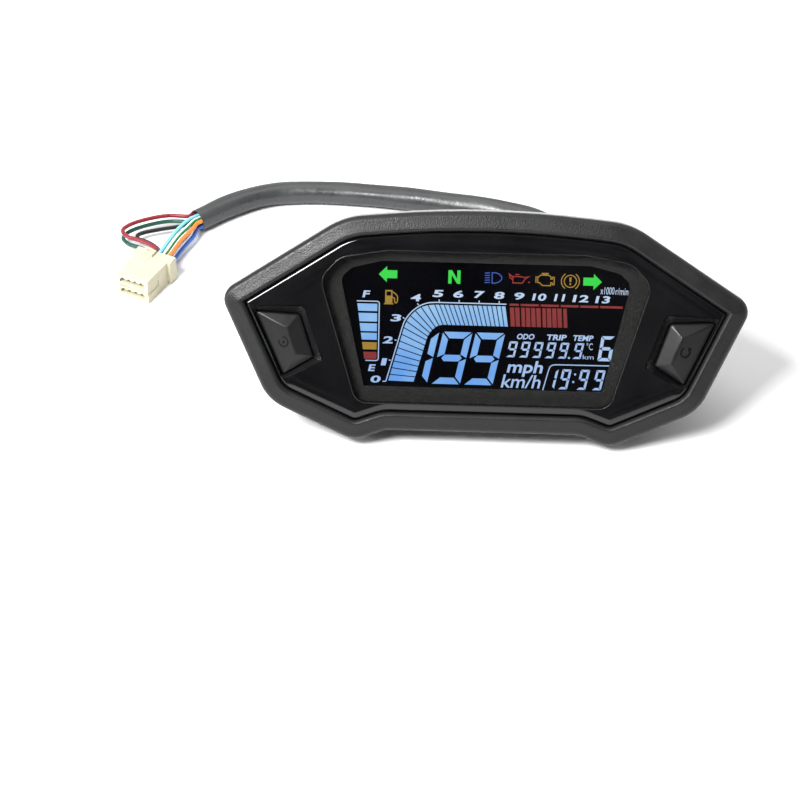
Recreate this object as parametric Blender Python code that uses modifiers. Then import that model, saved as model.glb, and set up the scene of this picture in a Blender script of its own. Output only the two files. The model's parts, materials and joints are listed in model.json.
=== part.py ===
"""Motorcycle instrument cluster.

A six-sided digital dash with a push button at each end.  It stands the way it is put down on a
bench: leaning back on the two knees of its case and the lower edge of its rear cup, with its
harness lying on the surface behind it and the harness connector at its left.

The case is drawn in a face frame: x across, depth into the case, height up the face.  Everything
on the bench, which is the harness and its connector, is drawn in world axes.  Units are metres.
"""

import math

import bmesh
import bpy
from mathutils import Matrix, Vector

# ---------------------------------------------------------------- driving dimensions

LEAN = math.radians(28.0)           # the face tips back by this much
GAP = 0.0003                        # clearance between pieces that touch

# Right half of the case outline, bottom to top: x, height, corner radius.  Left half is mirrored.
CASE_HALF = (
    (0.0370, 0.0020, 0.009),        # end of the flat underside
    (0.0495, -0.00255, 0.011),      # knee
    (0.0830, 0.0126, 0.018),        # lower bend
    (0.1019, 0.0540, 0.0065),       # side corner
    (0.0545, 0.0844, 0.030),        # upper bend
)
CASE_CROWN = (0.0, 0.0897, 0.390)   # the crowned top edge
CORNER_SIDE = 3                     # places in CASE_HALF that carry a case screw
CORNER_TOP = 4
CORNER_KNEE = 1

# Depths, measured back from the front plane of the rim.
RIM_BACK = 0.0030
LENS_FRONT = 0.0015
LENS_BACK = 0.0050
MASK_FRONT = 0.0059
MASK_BACK = 0.0074
LCD_FRONT = 0.0082
LCD_BACK = 0.0110
BEZEL_BACK = 0.0120
FLANGE_FRONT = 0.0133
FLANGE_BACK = 0.0159
BOARD_FRONT = 0.0210
BOARD_BACK = 0.0226
CUP_FLOOR = 0.0430
CUP_BACK = 0.0450
BOSS_BACK = 0.0480

# Distances in from the case outline.
RIM_INSET = 0.0075                  # width of the rim around the lens
BEZEL_WALL = 0.0024
LENS_INSET = 0.0028
MASK_INSET = 0.0030
FLANGE_INSET = 0.0016
BEZEL_DRAFT = 0.0008                # the bezel's wall leans in this much by its back edge
CUP_INSET = 0.0088                  # foot of the rear cup, inside the screw heads
CUP_WALL = 0.0022
BOARD_INSET = 0.0140

POST_INSET = 0.0046                 # screw posts of the bezel
POST_RADIUS = 0.0026
POST_CLEAR = 0.0030
SCREW_RADIUS = 0.0010
SCREW_PILOT = 0.0013
SCREW_HEAD_RADIUS = 0.0024
SCREW_HEAD = 0.0016

# Display stack.  Right half of the LCD outline, bottom to top.
LCD_HALF = (
    (0.0468, 0.0176, 0.0010),
    (0.0566, 0.0610, 0.0050),
    (0.0518, 0.0656, 0.0060),
    (0.0400, 0.0685, 0.0100),
)
LCD_FRAME_OUTSET = 0.0014
LCD_LEDGE = 0.0024
LCD_SHOWN_INSET = 0.0009            # the mask covers this much of the glass edge
TELLTALE_X = (-0.0376, -0.0120, 0.0032, 0.0132, 0.0227, 0.0323, 0.0410)
TELLTALE_HEIGHT = 0.0615
TELLTALE_CELL = (0.0032, 0.0021)    # half width and half height of one lit cell
TELLTALE_SHELL = ((0.0490, 0.0582, 0.0005), (0.0490, 0.0608, 0.0005), (0.0425, 0.0651, 0.0005))
LIGHT_GUIDE_HALF = ((0.0420, 0.0205, 0.0010), (0.0510, 0.0574, 0.0010))
LIGHT_GUIDE_BACK = 0.0146
RIBBON_HEIGHT = 0.0183

# Right button opening, counter-clockwise: x, height, corner radius.  The lip is the opening's edge in the
# lens's front, and the walls slope from it down to the opening itself.
BUTTON_OPENING = (
    (0.0773, 0.0222, 0.0012),
    (0.0888, 0.0478, 0.0012),
    (0.0706, 0.0470, 0.0020),
    (0.0649, 0.0299, 0.0012),
)
BUTTON_LIP = (
    (0.0775, 0.0214, 0.0012),
    (0.0897, 0.0494, 0.0012),
    (0.0693, 0.0501, 0.0024),
    (0.0620, 0.0293, 0.0012),
)
BUTTON_RIDGE = ((0.0754, 0.0418), (0.0718, 0.0316))     # upper and lower end of the cap's ridge
BUTTON_RISE = 0.0010                # the ridge stands this far in front of the rim
BUTTON_SHOULDER = 0.0026            # depth of the cap's edge
BUTTON_TRAVEL = 0.0010
BUTTON_CENTRE = (0.0745, 0.0380)
STEM_RADIUS = 0.0022
STEM_BACK = 0.0160
SWITCH_SIZE = 0.0060
SWITCH_FRONT = 0.0175
PLUNGER_RADIUS = 0.0017
PLUNGER_BACK = 0.0190

# Rear fixings.
STUD_X = 0.0450
STUD_HEIGHT = 0.0460
STUD_RADIUS = 0.0030                # M6
STUD_END = 0.0640
BOSS_RADIUS = 0.0100
BRACKET_SPACE = 0.0026              # a bracket goes between each boss and its damper
DAMPER_BORE = 0.0033
DAMPER_RADIUS = 0.0070
DAMPER_THICKNESS = 0.0040
DAMPER_EDGE = 0.0007
NUT_ACROSS_CORNERS = 0.0114
NUT_THICKNESS = 0.0050
BOARD_POSTS = ((0.0645, 0.0560), (0.0690, 0.0262))

# Harness.
EXIT_X = 0.0220
EXIT_HEIGHT = 0.0400
SLEEVE_RADIUS = 0.0050
WIRE_RADIUS = 0.0009
CONNECTOR_SIZE = (0.0155, 0.0208, 0.0110)
CONNECTOR_CENTRE = (-0.1433, 0.0621)
CONNECTOR_TURN = math.radians(-24.2)
COLLAR_SIZE = (0.0183, 0.0050)      # width and length of the wider rear of the connector

# ---------------------------------------------------------------- scene and materials

for old in list(bpy.data.objects):
    bpy.data.objects.remove(old, do_unlink=True)

CLUSTER = bpy.data.collections.new("instrument_cluster")
CUTTERS = bpy.data.collections.new("cutters")
bpy.context.scene.collection.children.link(CLUSTER)
bpy.context.scene.collection.children.link(CUTTERS)

FACE = bpy.data.objects.new("face_frame", None)
FACE.rotation_euler = (-LEAN, 0.0, 0.0)
CLUSTER.objects.link(FACE)


def material(name, colour, roughness, metallic=0.0):
    made = bpy.data.materials.new(name)
    made.use_nodes = True
    shader = made.node_tree.nodes["Principled BSDF"]
    shader.inputs["Base Color"].default_value = (*colour, 1.0)
    shader.inputs["Roughness"].default_value = roughness
    shader.inputs["Metallic"].default_value = metallic
    return made


BLACK_PLASTIC = material("black_plastic", (0.030, 0.030, 0.031), 0.55)
LENS_PLASTIC = material("smoked_lens", (0.008, 0.008, 0.009), 0.08)
GREY_PLASTIC = material("grey_plastic", (0.060, 0.060, 0.062), 0.60)
WHITE_PLASTIC = material("white_plastic", (0.80, 0.80, 0.78), 0.45)
DISPLAY_GLASS = material("display_glass", (0.010, 0.012, 0.016), 0.10)
BOARD_GREEN = material("board_green", (0.02, 0.16, 0.07), 0.35)
CHIP_BLACK = material("chip_black", (0.02, 0.02, 0.02), 0.40)
STEEL = material("zinc_steel", (0.62, 0.62, 0.60), 0.30, 1.0)
RUBBER = material("rubber", (0.022, 0.022, 0.022), 0.80)
SLEEVE_VINYL = material("sleeve_vinyl", (0.060, 0.062, 0.064), 0.35)
NYLON = material("ivory_nylon", (0.86, 0.83, 0.66), 0.45)
COPPER_TONE = material("ribbon_amber", (0.55, 0.28, 0.05), 0.35)

# ---------------------------------------------------------------- outlines


def mirrored(half, crown=()):
    """Both halves of an outline, counter-clockwise, from the lower right round to the lower left."""
    left = [(-x, height, radius) for x, height, radius in reversed(half)]
    return [*half, *crown, *left]


def flipped(corners):
    """The same outline on the other side of the face, still counter-clockwise."""
    return [(-x, height, radius) for x, height, radius in reversed(corners)]


def inset(corners, amount, least_radius=0.0005):
    """Move every edge inwards.  Fillets shrink at outer corners and grow at hollow ones."""
    moved = []
    for place, (x, height, radius) in enumerate(corners):
        before = Vector(corners[place - 1][:2])
        here = Vector((x, height))
        after = Vector(corners[(place + 1) % len(corners)][:2])
        along_in = (here - before).normalized()
        along_out = (after - here).normalized()
        outward = Vector((along_in.y, -along_in.x))
        bisector = (outward + Vector((along_out.y, -along_out.x))).normalized()
        spot = here - bisector * (amount / bisector.dot(outward))
        hollow = along_in.x * along_out.y - along_in.y * along_out.x < 0.0
        grown = radius + amount if hollow else radius - amount
        moved.append((spot.x, spot.y, max(grown, least_radius)))
    return moved


def rounded(corners, finest_turn=math.radians(15.0), least_steps=3):
    """Points along a corner list with every corner turned into an arc.

    The number of points depends on the turns only, so insets of one outline match point for point.
    """
    points = []
    for place, (x, height, radius) in enumerate(corners):
        before = Vector(corners[place - 1][:2])
        here = Vector((x, height))
        after = Vector(corners[(place + 1) % len(corners)][:2])
        along_in = (here - before).normalized()
        along_out = (after - here).normalized()
        turn = math.atan2(along_in.x * along_out.y - along_in.y * along_out.x, along_in.dot(along_out))
        start = here - along_in * (radius * math.tan(abs(turn) / 2))
        centre = start + Vector((-along_in.y, along_in.x)) * math.copysign(radius, turn)
        steps = max(least_steps, math.ceil(abs(turn) / finest_turn))
        for step in range(steps + 1):
            spin = Matrix.Rotation(turn * step / steps, 2)
            point = centre + spin @ (start - centre)
            points.append((point.x, point.y))
    return points


CASE = mirrored(CASE_HALF, (CASE_CROWN,))
LCD = mirrored(LCD_HALF)


def case_ring(amount, depth):
    """The case outline, inset and placed at a depth, as points of the face frame."""
    return [Vector((x, depth, height)) for x, height in rounded(inset(CASE, amount))]


def circle(x, height, radius, sides=24):
    return [(x + radius * math.cos(math.tau * k / sides), height + radius * math.sin(math.tau * k / sides))
            for k in range(sides)]


def rectangle(left, right, low, high, radius=0.0004):
    return rounded([(right, low, radius), (right, high, radius), (left, high, radius), (left, low, radius)])


# ---------------------------------------------------------------- building blocks


def on_face(ob):
    ob.parent = FACE
    return ob


def add_object(name, mesh, look, collection=CLUSTER):
    ob = bpy.data.objects.new(name, mesh)
    if look:
        mesh.materials.append(look)
    collection.objects.link(ob)
    return ob


def smooth_round(mesh, angle=math.radians(35.0)):
    mesh.shade_smooth()
    mesh.set_sharp_from_angle(angle=angle)


def from_bmesh(name, bm, look, collection=CLUSTER):
    bmesh.ops.recalc_face_normals(bm, faces=bm.faces)
    mesh = bpy.data.meshes.new(name)
    bm.to_mesh(mesh)
    bm.free()
    smooth_round(mesh)
    return add_object(name, mesh, look, collection)


def loft(name, rings, look, closed=False, collection=CLUSTER):
    """Skin between rings with equal numbers of points, capped at both ends unless it closes on itself."""
    bm = bmesh.new()
    rows = [[bm.verts.new(point) for point in ring] for ring in rings]
    pairs = list(zip(rows, rows[1:]))
    if closed:
        pairs.append((rows[-1], rows[0]))
    else:
        bm.faces.new(rows[0])
        bm.faces.new(reversed(rows[-1]))
    for row, following in pairs:
        for k in range(len(row)):
            after = (k + 1) % len(row)
            bm.faces.new((row[k], row[after], following[after], following[k]))
    bmesh.ops.remove_doubles(bm, verts=bm.verts, dist=1e-6)
    return on_face(from_bmesh(name, bm, look, collection))


def meshed(ob):
    """Replace a curve object by a welded mesh object in the same place."""
    bpy.context.view_layer.update()
    found = ob.evaluated_get(bpy.context.evaluated_depsgraph_get())
    mesh = bpy.data.meshes.new_from_object(found)
    bm = bmesh.new()
    bm.from_mesh(mesh)
    bmesh.ops.remove_doubles(bm, verts=bm.verts, dist=1e-6)
    bmesh.ops.recalc_face_normals(bm, faces=bm.faces)
    bm.to_mesh(mesh)
    bm.free()
    name, parent, place, home = ob.name, ob.parent, ob.matrix_world.copy(), ob.users_collection[0]
    bpy.data.objects.remove(ob, do_unlink=True)
    made = bpy.data.objects.new(name, mesh)
    home.objects.link(made)
    made.parent = parent
    made.matrix_world = place
    smooth_round(mesh)
    return made


def plate(name, outline, front, back, look, holes=(), collection=CLUSTER):
    """A flat outline across the face, from one depth to another, with through holes."""
    curve = bpy.data.curves.new(name, "CURVE")
    curve.dimensions = "2D"
    curve.fill_mode = "BOTH"
    curve.extrude = (back - front) / 2
    for points in (outline, *holes):
        spline = curve.splines.new("POLY")
        spline.points.add(len(points) - 1)
        for point, (x, height) in zip(spline.points, points):
            point.co = (x, height, 0.0, 1.0)
        spline.use_cyclic_u = True
    if look:
        curve.materials.append(look)
    ob = bpy.data.objects.new(name, curve)
    collection.objects.link(ob)
    ob.parent = FACE
    ob.location = (0.0, (front + back) / 2, 0.0)
    ob.rotation_euler = (math.radians(90.0), 0.0, 0.0)
    return meshed(ob)


def turned(name, profile, x, height, look, steps=20, collection=CLUSTER):
    """A turned piece on an axis square to the face.  The profile is (radius, depth), front to back."""
    mesh = bpy.data.meshes.new(name)
    closed = profile[0][0] > 0.0
    edges = [(k, k + 1) for k in range(len(profile) - 1)]
    if closed:
        edges.append((len(profile) - 1, 0))
    mesh.from_pydata([(radius, 0.0, -depth) for radius, depth in profile], edges, [])
    ob = on_face(add_object(name, mesh, look, collection))
    ob.location = (x, 0.0, height)
    ob.rotation_euler = (math.radians(90.0), 0.0, 0.0)
    screw = ob.modifiers.new("turn", "SCREW")
    screw.axis = "Z"
    screw.steps = steps
    screw.render_steps = steps
    screw.use_merge_vertices = True
    screw.merge_threshold = 1e-6
    screw.use_smooth_shade = True
    return ob


def pegs(name, spots, radius, front, back, sides=16):
    """Cylinders square to the face, as one tool."""
    bm = bmesh.new()
    for x, height in spots:
        place = Matrix.Translation((x, (front + back) / 2, height)) @ Matrix.Rotation(math.radians(90.0), 4, "X")
        bmesh.ops.create_cone(bm, cap_ends=True, segments=sides, radius1=radius, radius2=radius,
                              depth=back - front, matrix=place)
    return on_face(from_bmesh(name, bm, None, CUTTERS))


def block(name, centre, size, look, collection=CLUSTER, bevel=0.0):
    """A box in the face frame: centre and size are across, depth, height."""
    bm = bmesh.new()
    bmesh.ops.create_cube(bm, size=1.0, matrix=Matrix.Diagonal((*size, 1.0)))
    ob = on_face(from_bmesh(name, bm, look, collection))
    ob.location = centre
    if bevel:
        add_bevel(ob, bevel)
    return ob


def add_bevel(ob, width, segments=1):
    bevel = ob.modifiers.new("edges", "BEVEL")
    bevel.width = width
    bevel.segments = segments
    bevel.limit_method = "ANGLE"
    bevel.angle_limit = math.radians(40.0)


def combine(ob, tool, operation):
    """Join a tool to an object or cut it away, and keep the tool out of the model."""
    tool.hide_render = True
    tool.display_type = "WIRE"
    boolean = ob.modifiers.new(tool.name, "BOOLEAN")
    boolean.operation = operation
    boolean.solver = "EXACT"
    boolean.object = tool


def join(ob, tool):
    combine(ob, tool, "UNION")


def cut(ob, tool):
    combine(ob, tool, "DIFFERENCE")


def both_sides(spots):
    return [(side * x, height) for x, height in spots for side in (1, -1)]


def spline_points(route, spacing):
    """Evenly spaced points on a smooth curve through a route, by Catmull-Rom segments."""
    ends = [route[0] * 2 - route[1], *route, route[-1] * 2 - route[-2]]
    dense = []
    for a, b, c, d in zip(ends, ends[1:], ends[2:], ends[3:]):
        for step in range(24):
            t = step / 24
            dense.append(0.5 * (2 * b + (c - a) * t + (2 * a - 5 * b + 4 * c - d) * t ** 2
                                + (3 * b - a - 3 * c + d) * t ** 3))
    dense.append(route[-1])
    lengths = [0.0]
    for start, end in zip(dense, dense[1:]):
        lengths.append(lengths[-1] + (end - start).length)
    count = max(4, round(lengths[-1] / spacing))
    points = []
    place = 0
    for k in range(count + 1):
        wanted = lengths[-1] * k / count
        while place < len(lengths) - 2 and lengths[place + 1] < wanted:
            place += 1
        share = (wanted - lengths[place]) / (lengths[place + 1] - lengths[place])
        points.append(dense[place].lerp(dense[place + 1], min(share, 1.0)))
    return points


def tube(name, route, radius, look, spacing, resolution=2):
    """A round tube in world axes along a smooth route."""
    curve = bpy.data.curves.new(name, "CURVE")
    curve.dimensions = "3D"
    curve.bevel_depth = radius
    curve.bevel_resolution = resolution
    curve.use_fill_caps = True
    curve.materials.append(look)
    points = spline_points([Vector(point) for point in route], spacing)
    spline = curve.splines.new("POLY")
    spline.points.add(len(points) - 1)
    for point, place in zip(spline.points, points):
        point.co = (*place, 1.0)
    ob = bpy.data.objects.new(name, curve)
    CLUSTER.objects.link(ob)
    return ob


# ---------------------------------------------------------------- case


def corner_spots(amount, places):
    """Where the case's corners lie on both sides, once inset."""
    corners = inset(CASE, amount)
    return both_sides([corners[place][:2] for place in places])


CASE_SCREWS = corner_spots(POST_INSET, (CORNER_SIDE, CORNER_TOP, CORNER_KNEE))


def front_bezel():
    section = (
        (BEZEL_DRAFT, BEZEL_BACK), (0.0, 0.0050), (0.0, 0.0042), (0.0004, 0.0027), (0.0012, 0.0017), (0.0024, 0.0010),
        (0.0060, 0.0), (0.0067, 0.0003), (RIM_INSET, 0.0016), (RIM_INSET, RIM_BACK),
        (BEZEL_WALL, RIM_BACK), (BEZEL_WALL, BEZEL_BACK),
    )
    rings = [case_ring(amount, depth) for amount, depth in section]
    bezel = loft("front_bezel", rings, BLACK_PLASTIC, closed=True)
    join(bezel, pegs("bezel_posts", CASE_SCREWS, POST_RADIUS, 0.0020, BEZEL_BACK))
    cut(bezel, pegs("bezel_pilots", CASE_SCREWS, SCREW_PILOT, 0.0050, BEZEL_BACK + 0.001, sides=12))


def front_lens():
    section = (
        (LENS_INSET, LENS_BACK), (LENS_INSET, RIM_BACK + GAP), (RIM_INSET + 0.0004, RIM_BACK + GAP),
        (RIM_INSET + 0.0004, 0.0023), (RIM_INSET + 0.0011, LENS_FRONT),
    )
    lens = loft("front_lens", [case_ring(amount, depth) for amount, depth in section], LENS_PLASTIC)
    cut(lens, pegs("lens_post_notches", CASE_SCREWS, POST_CLEAR, 0.0, 0.0060))
    for side, lip, opening in (("right", BUTTON_LIP, BUTTON_OPENING),
                               ("left", flipped(BUTTON_LIP), flipped(BUTTON_OPENING))):
        rings = []
        for corners, depth in ((inset(lip, -0.0004), 0.0010), (lip, LENS_FRONT), (opening, 0.0036), (opening, 0.0060)):
            rings.append([Vector((x, depth, height)) for x, height in rounded(corners, math.pi, 6)])
        cut(lens, loft("lens_opening_" + side, rings, None, collection=CUTTERS))


def display_mask():
    openings = [rounded(inset(LCD, LCD_SHOWN_INSET))]
    for opening in (BUTTON_OPENING, flipped(BUTTON_OPENING)):
        openings.append(rounded(inset(opening, -0.0022)))
    mask = plate("display_mask", rounded(inset(CASE, MASK_INSET)), MASK_FRONT, MASK_BACK, GREY_PLASTIC, openings)
    cut(mask, pegs("mask_post_notches", CASE_SCREWS, POST_CLEAR, 0.0050, 0.0080))


def rear_foot_inset(depth):
    """How far in the cup's outline must be, at a depth, for its lower edge to reach the bench."""
    low = [min(height for _, height in rounded(inset(CASE, amount))) for amount in (FLANGE_INSET, 0.0150)]
    wanted = low[0] + (depth - FLANGE_BACK) * math.tan(LEAN)
    return FLANGE_INSET + (wanted - low[0]) / (low[1] - low[0]) * (0.0150 - FLANGE_INSET)


def rear_housing():
    edge = CUP_BACK - 0.0016
    outer = rear_foot_inset(edge)
    section = (
        (outer + CUP_WALL, CUP_FLOOR), (CUP_INSET + CUP_WALL, FLANGE_FRONT), (FLANGE_INSET, FLANGE_FRONT),
        (FLANGE_INSET, FLANGE_BACK), (CUP_INSET, FLANGE_BACK), (outer, edge), (outer + 0.0016, CUP_BACK),
    )
    housing = loft("rear_housing", [case_ring(amount, depth) for amount, depth in section], BLACK_PLASTIC)
    studs = both_sides([(STUD_X, STUD_HEIGHT)])
    posts = both_sides(BOARD_POSTS)
    join(housing, pegs("stud_bosses", studs, BOSS_RADIUS, 0.0390, BOSS_BACK, sides=28))
    join(housing, pegs("board_posts", posts, 0.0030, BOARD_BACK + GAP, 0.0358))
    cut(housing, pegs("flange_screw_holes", CASE_SCREWS, SCREW_PILOT, 0.0120, 0.0170, sides=12))
    cut(housing, pegs("stud_bores", studs, STUD_RADIUS + GAP, 0.0405, 0.0490, sides=20))
    cut(housing, pegs("board_pilots", posts, SCREW_PILOT, 0.0220, 0.0310, sides=12))
    cut(housing, pegs("harness_hole", [(EXIT_X, EXIT_HEIGHT)], 0.0073, 0.0420, 0.0460, sides=24))


def housing_seal():
    plate("housing_seal", rounded(inset(CASE, 0.0012)), BEZEL_BACK + GAP, FLANGE_FRONT - GAP, RUBBER,
          [rounded(inset(CASE, 0.0022))])


def self_tapper(name, x, height, head_front, tip):
    """A pan-head screw with its head at one depth and its tip at another."""
    towards = 1.0 if tip > head_front else -1.0
    head_back = head_front + towards * SCREW_HEAD
    profile = [
        (0.0, head_front), (SCREW_HEAD_RADIUS * 0.75, head_front),
        (SCREW_HEAD_RADIUS, head_front + towards * 0.0006), (SCREW_HEAD_RADIUS, head_back),
        (SCREW_RADIUS, head_back), (SCREW_RADIUS, tip - towards * 0.0010), (0.0, tip),
    ]
    if towards < 0.0:
        profile.reverse()
    screw = turned(name, profile, x, height, STEEL, steps=16)
    recess = turned(name + "_recess", [(0.0, -0.0006), (0.0011, -0.0006), (0.0011, 0.0008), (0.0, 0.0008)],
                    x, height, None, steps=6, collection=CUTTERS)
    recess.location = (x, head_front, height)
    cut(screw, recess)


def case_screws():
    for number, (x, height) in enumerate(CASE_SCREWS, start=1):
        self_tapper(f"case_screw_{number}", x, height, FLANGE_BACK + GAP + SCREW_HEAD, 0.0060)


def rear_fixings():
    for side, x in (("right", STUD_X), ("left", -STUD_X)):
        turned("mounting_stud_" + side, [(0.0, 0.0408), (STUD_RADIUS, 0.0408), (STUD_RADIUS, STUD_END - 0.0008),
                                         (STUD_RADIUS - 0.0008, STUD_END), (0.0, STUD_END)],
               x, STUD_HEIGHT, STEEL)
        front = BOSS_BACK + BRACKET_SPACE
        back = front + DAMPER_THICKNESS
        rim = DAMPER_RADIUS - DAMPER_EDGE
        turned("stud_damper_" + side, [(DAMPER_BORE, front), (rim, front), (DAMPER_RADIUS, front + DAMPER_EDGE),
                                       (DAMPER_RADIUS, back - DAMPER_EDGE), (rim, back), (DAMPER_BORE, back)],
               x, STUD_HEIGHT, RUBBER)
        hexagon = circle(x, STUD_HEIGHT, NUT_ACROSS_CORNERS / 2, sides=6)
        plate("stud_nut_" + side, hexagon, back + GAP, back + GAP + NUT_THICKNESS, STEEL,
              [circle(x, STUD_HEIGHT, DAMPER_BORE, sides=20)])


# ---------------------------------------------------------------- display and electronics


def lcd_stack():
    plate("lcd_glass", rounded(LCD), LCD_FRONT, LCD_BACK, DISPLAY_GLASS)
    frame = plate("lcd_frame", rounded(inset(LCD, -LCD_FRAME_OUTSET)), LCD_FRONT, BOARD_FRONT - GAP, WHITE_PLASTIC,
                  [rounded(inset(LCD, LCD_LEDGE))])
    cut(frame, plate("lcd_pocket", rounded(inset(LCD, -GAP)), LCD_FRONT - 0.001, LCD_BACK + GAP, None,
                     collection=CUTTERS))
    cut(frame, block("ribbon_slot", (0.0, 0.0160, RIBBON_HEIGHT), (0.0306, 0.0100, 0.0010), None, CUTTERS))
    block("lcd_ribbon", (0.0, 0.01595, RIBBON_HEIGHT), (0.0300, 0.0093, 0.0004), COPPER_TONE)
    behind = LCD_BACK + 2 * GAP
    plate("light_guide", rounded(mirrored(LIGHT_GUIDE_HALF)), behind, LIGHT_GUIDE_BACK, WHITE_PLASTIC)
    half_width, half_height = TELLTALE_CELL
    cells = [rectangle(x - half_width, x + half_width, TELLTALE_HEIGHT - half_height, TELLTALE_HEIGHT + half_height)
             for x in TELLTALE_X]
    plate("telltale_box", rounded(mirrored(TELLTALE_SHELL)), behind, BOARD_FRONT - GAP, BLACK_PLASTIC, cells)
    for number, x in enumerate(TELLTALE_X, start=1):
        block(f"telltale_led_{number}", (x, 0.02035, TELLTALE_HEIGHT), (0.0030, 0.0007, 0.0026), WHITE_PLASTIC)
    for side, x in (("left", -0.0250), ("right", 0.0250)):
        block("backlight_led_" + side, (x, 0.0203, 0.0400), (0.0050, 0.0008, 0.0050), WHITE_PLASTIC)


def main_board():
    board = plate("main_board", rounded(inset(CASE, BOARD_INSET)), BOARD_FRONT, BOARD_BACK, BOARD_GREEN)
    cut(board, pegs("board_holes", both_sides(BOARD_POSTS), SCREW_PILOT, 0.0200, 0.0240, sides=12))
    for number, (x, height) in enumerate(both_sides(BOARD_POSTS), start=1):
        self_tapper(f"board_screw_{number}", x, height, BOARD_FRONT - GAP - SCREW_HEAD, 0.0300)
    behind = BOARD_BACK + GAP
    block("microcontroller", (-0.0200, behind + 0.0008, 0.0420), (0.0140, 0.0016, 0.0140), CHIP_BLACK, bevel=0.0003)
    block("crystal_can", (-0.0360, behind + 0.0017, 0.0380), (0.0110, 0.0034, 0.0045), STEEL, bevel=0.0008)
    block("voltage_regulator", (-0.0180, behind + 0.0012, 0.0620), (0.0066, 0.0024, 0.0062), CHIP_BLACK, bevel=0.0003)
    turned("filter_capacitor", [(0.0, behind), (0.0040, behind), (0.0040, behind + 0.0092), (0.0034, behind + 0.0100),
                                (0.0, behind + 0.0100)], 0.0020, 0.0640, STEEL)
    header = block("board_header", (EXIT_X, behind + 0.0035, EXIT_HEIGHT), (0.0240, 0.0070, 0.0100), NYLON)
    cut(header, block("header_pocket", (EXIT_X, behind + 0.0050, EXIT_HEIGHT), (0.0212, 0.0060, 0.0072), None, CUTTERS))
    block("header_plug", (EXIT_X, behind + 0.0061, EXIT_HEIGHT), (0.0206, 0.0080, 0.0066), NYLON, bevel=0.0004)
    turned("inner_lead", [(0.0, 0.0333), (0.0040, 0.0333), (0.0040, 0.0409), (0.0, 0.0409)], EXIT_X, EXIT_HEIGHT,
           SLEEVE_VINYL, steps=16)


def push_button(side, opening, ridge, centre):
    """A faceted cap with a flange behind the lens and a stem down to its switch."""
    flange = rounded(inset(opening, -0.0012))
    cap = rounded(inset(opening, 0.0005))
    top = LENS_BACK + 0.0004
    rings = [[Vector((x, depth, height)) for x, height in points]
             for points, depth in ((flange, top + 0.0012), (flange, top), (cap, top), (cap, BUTTON_SHOULDER))]
    ends = [Vector(point) for point in ridge]
    roof = []
    for x, height in cap:
        nearest = min(ends, key=lambda end: abs(end.y - height))
        roof.append(Vector((nearest.x, -BUTTON_RISE, nearest.y)))
    bm = bmesh.new()
    rows = [[bm.verts.new(point) for point in ring] for ring in (*rings, roof)]
    bm.faces.new(rows[0])
    for row, following in zip(rows, rows[1:]):
        for k in range(len(row)):
            after = (k + 1) % len(row)
            bm.faces.new((row[k], row[after], following[after], following[k]))
    bmesh.ops.remove_doubles(bm, verts=bm.verts, dist=1e-6)
    button = on_face(from_bmesh("button_" + side, bm, BLACK_PLASTIC))
    button.data.shade_flat()
    join(button, pegs("button_stem_" + side, [centre], STEM_RADIUS, 0.0060, STEM_BACK))
    x, height = centre
    switch = block("switch_body_" + side, (x, (SWITCH_FRONT + BOARD_FRONT - GAP) / 2, height),
                   (SWITCH_SIZE, BOARD_FRONT - GAP - SWITCH_FRONT, SWITCH_SIZE), CHIP_BLACK)
    cut(switch, pegs("switch_bore_" + side, [centre], PLUNGER_RADIUS + GAP, SWITCH_FRONT - 0.001,
                     PLUNGER_BACK + BUTTON_TRAVEL + GAP))
    turned("switch_plunger_" + side, [(0.0, STEM_BACK + GAP), (PLUNGER_RADIUS, STEM_BACK + GAP),
                                      (PLUNGER_RADIUS, PLUNGER_BACK), (0.0, PLUNGER_BACK)],
           x, height, WHITE_PLASTIC, steps=16)


def push_buttons():
    push_button("right", BUTTON_OPENING, BUTTON_RIDGE, BUTTON_CENTRE)
    ridge = [(-x, height) for x, height in BUTTON_RIDGE]
    push_button("left", flipped(BUTTON_OPENING), ridge, (-BUTTON_CENTRE[0], BUTTON_CENTRE[1]))


def harness_grommet():
    """A rubber grommet in the rear wall, with a tapered nose that holds the sleeve."""
    profile = [
        (0.0054, 0.0412), (0.0090, 0.0412), (0.0090, CUP_FLOOR - GAP), (0.0070, CUP_FLOOR - GAP),
        (0.0070, CUP_BACK + GAP), (0.0090, CUP_BACK + GAP), (0.0090, 0.0468), (0.0080, 0.0474),
        (0.0066, 0.0570), (0.0054, 0.0570),
    ]
    turned("harness_grommet", profile, EXIT_X, EXIT_HEIGHT, RUBBER, steps=24)


# ---------------------------------------------------------------- standing on the bench


def stand_on_bench():
    """Shift the face frame so that the case stands on z = 0 with its box centred on the origin."""
    bpy.context.view_layer.update()
    depsgraph = bpy.context.evaluated_depsgraph_get()
    corners = []
    for ob in CLUSTER.objects:
        if ob.type == "MESH":
            found = ob.evaluated_get(depsgraph)
            corners += [found.matrix_world @ vertex.co for vertex in found.data.vertices]
    low = [min(corner[axis] for corner in corners) for axis in range(3)]
    high = [max(corner[axis] for corner in corners) for axis in range(3)]
    FACE.location = (-(low[0] + high[0]) / 2, -(low[1] + high[1]) / 2, -low[2])
    bpy.context.view_layer.update()


# ---------------------------------------------------------------- harness

# Where the sleeve lies on the bench, from behind the case round to its end near the connector.
SLEEVE_LIE = 0.0053
SLEEVE_ROUTE = (
    (0.0285, 0.0520), (0.0345, 0.0680), (0.0368, 0.0830), (0.0325, 0.0970), (0.0225, 0.1085),
    (0.0077, 0.1148), (-0.0076, 0.1185), (-0.0297, 0.1221), (-0.0518, 0.1249), (-0.0739, 0.1263),
    (-0.0958, 0.1238), (-0.1126, 0.1147), (-0.1258, 0.1028),
)

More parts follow.
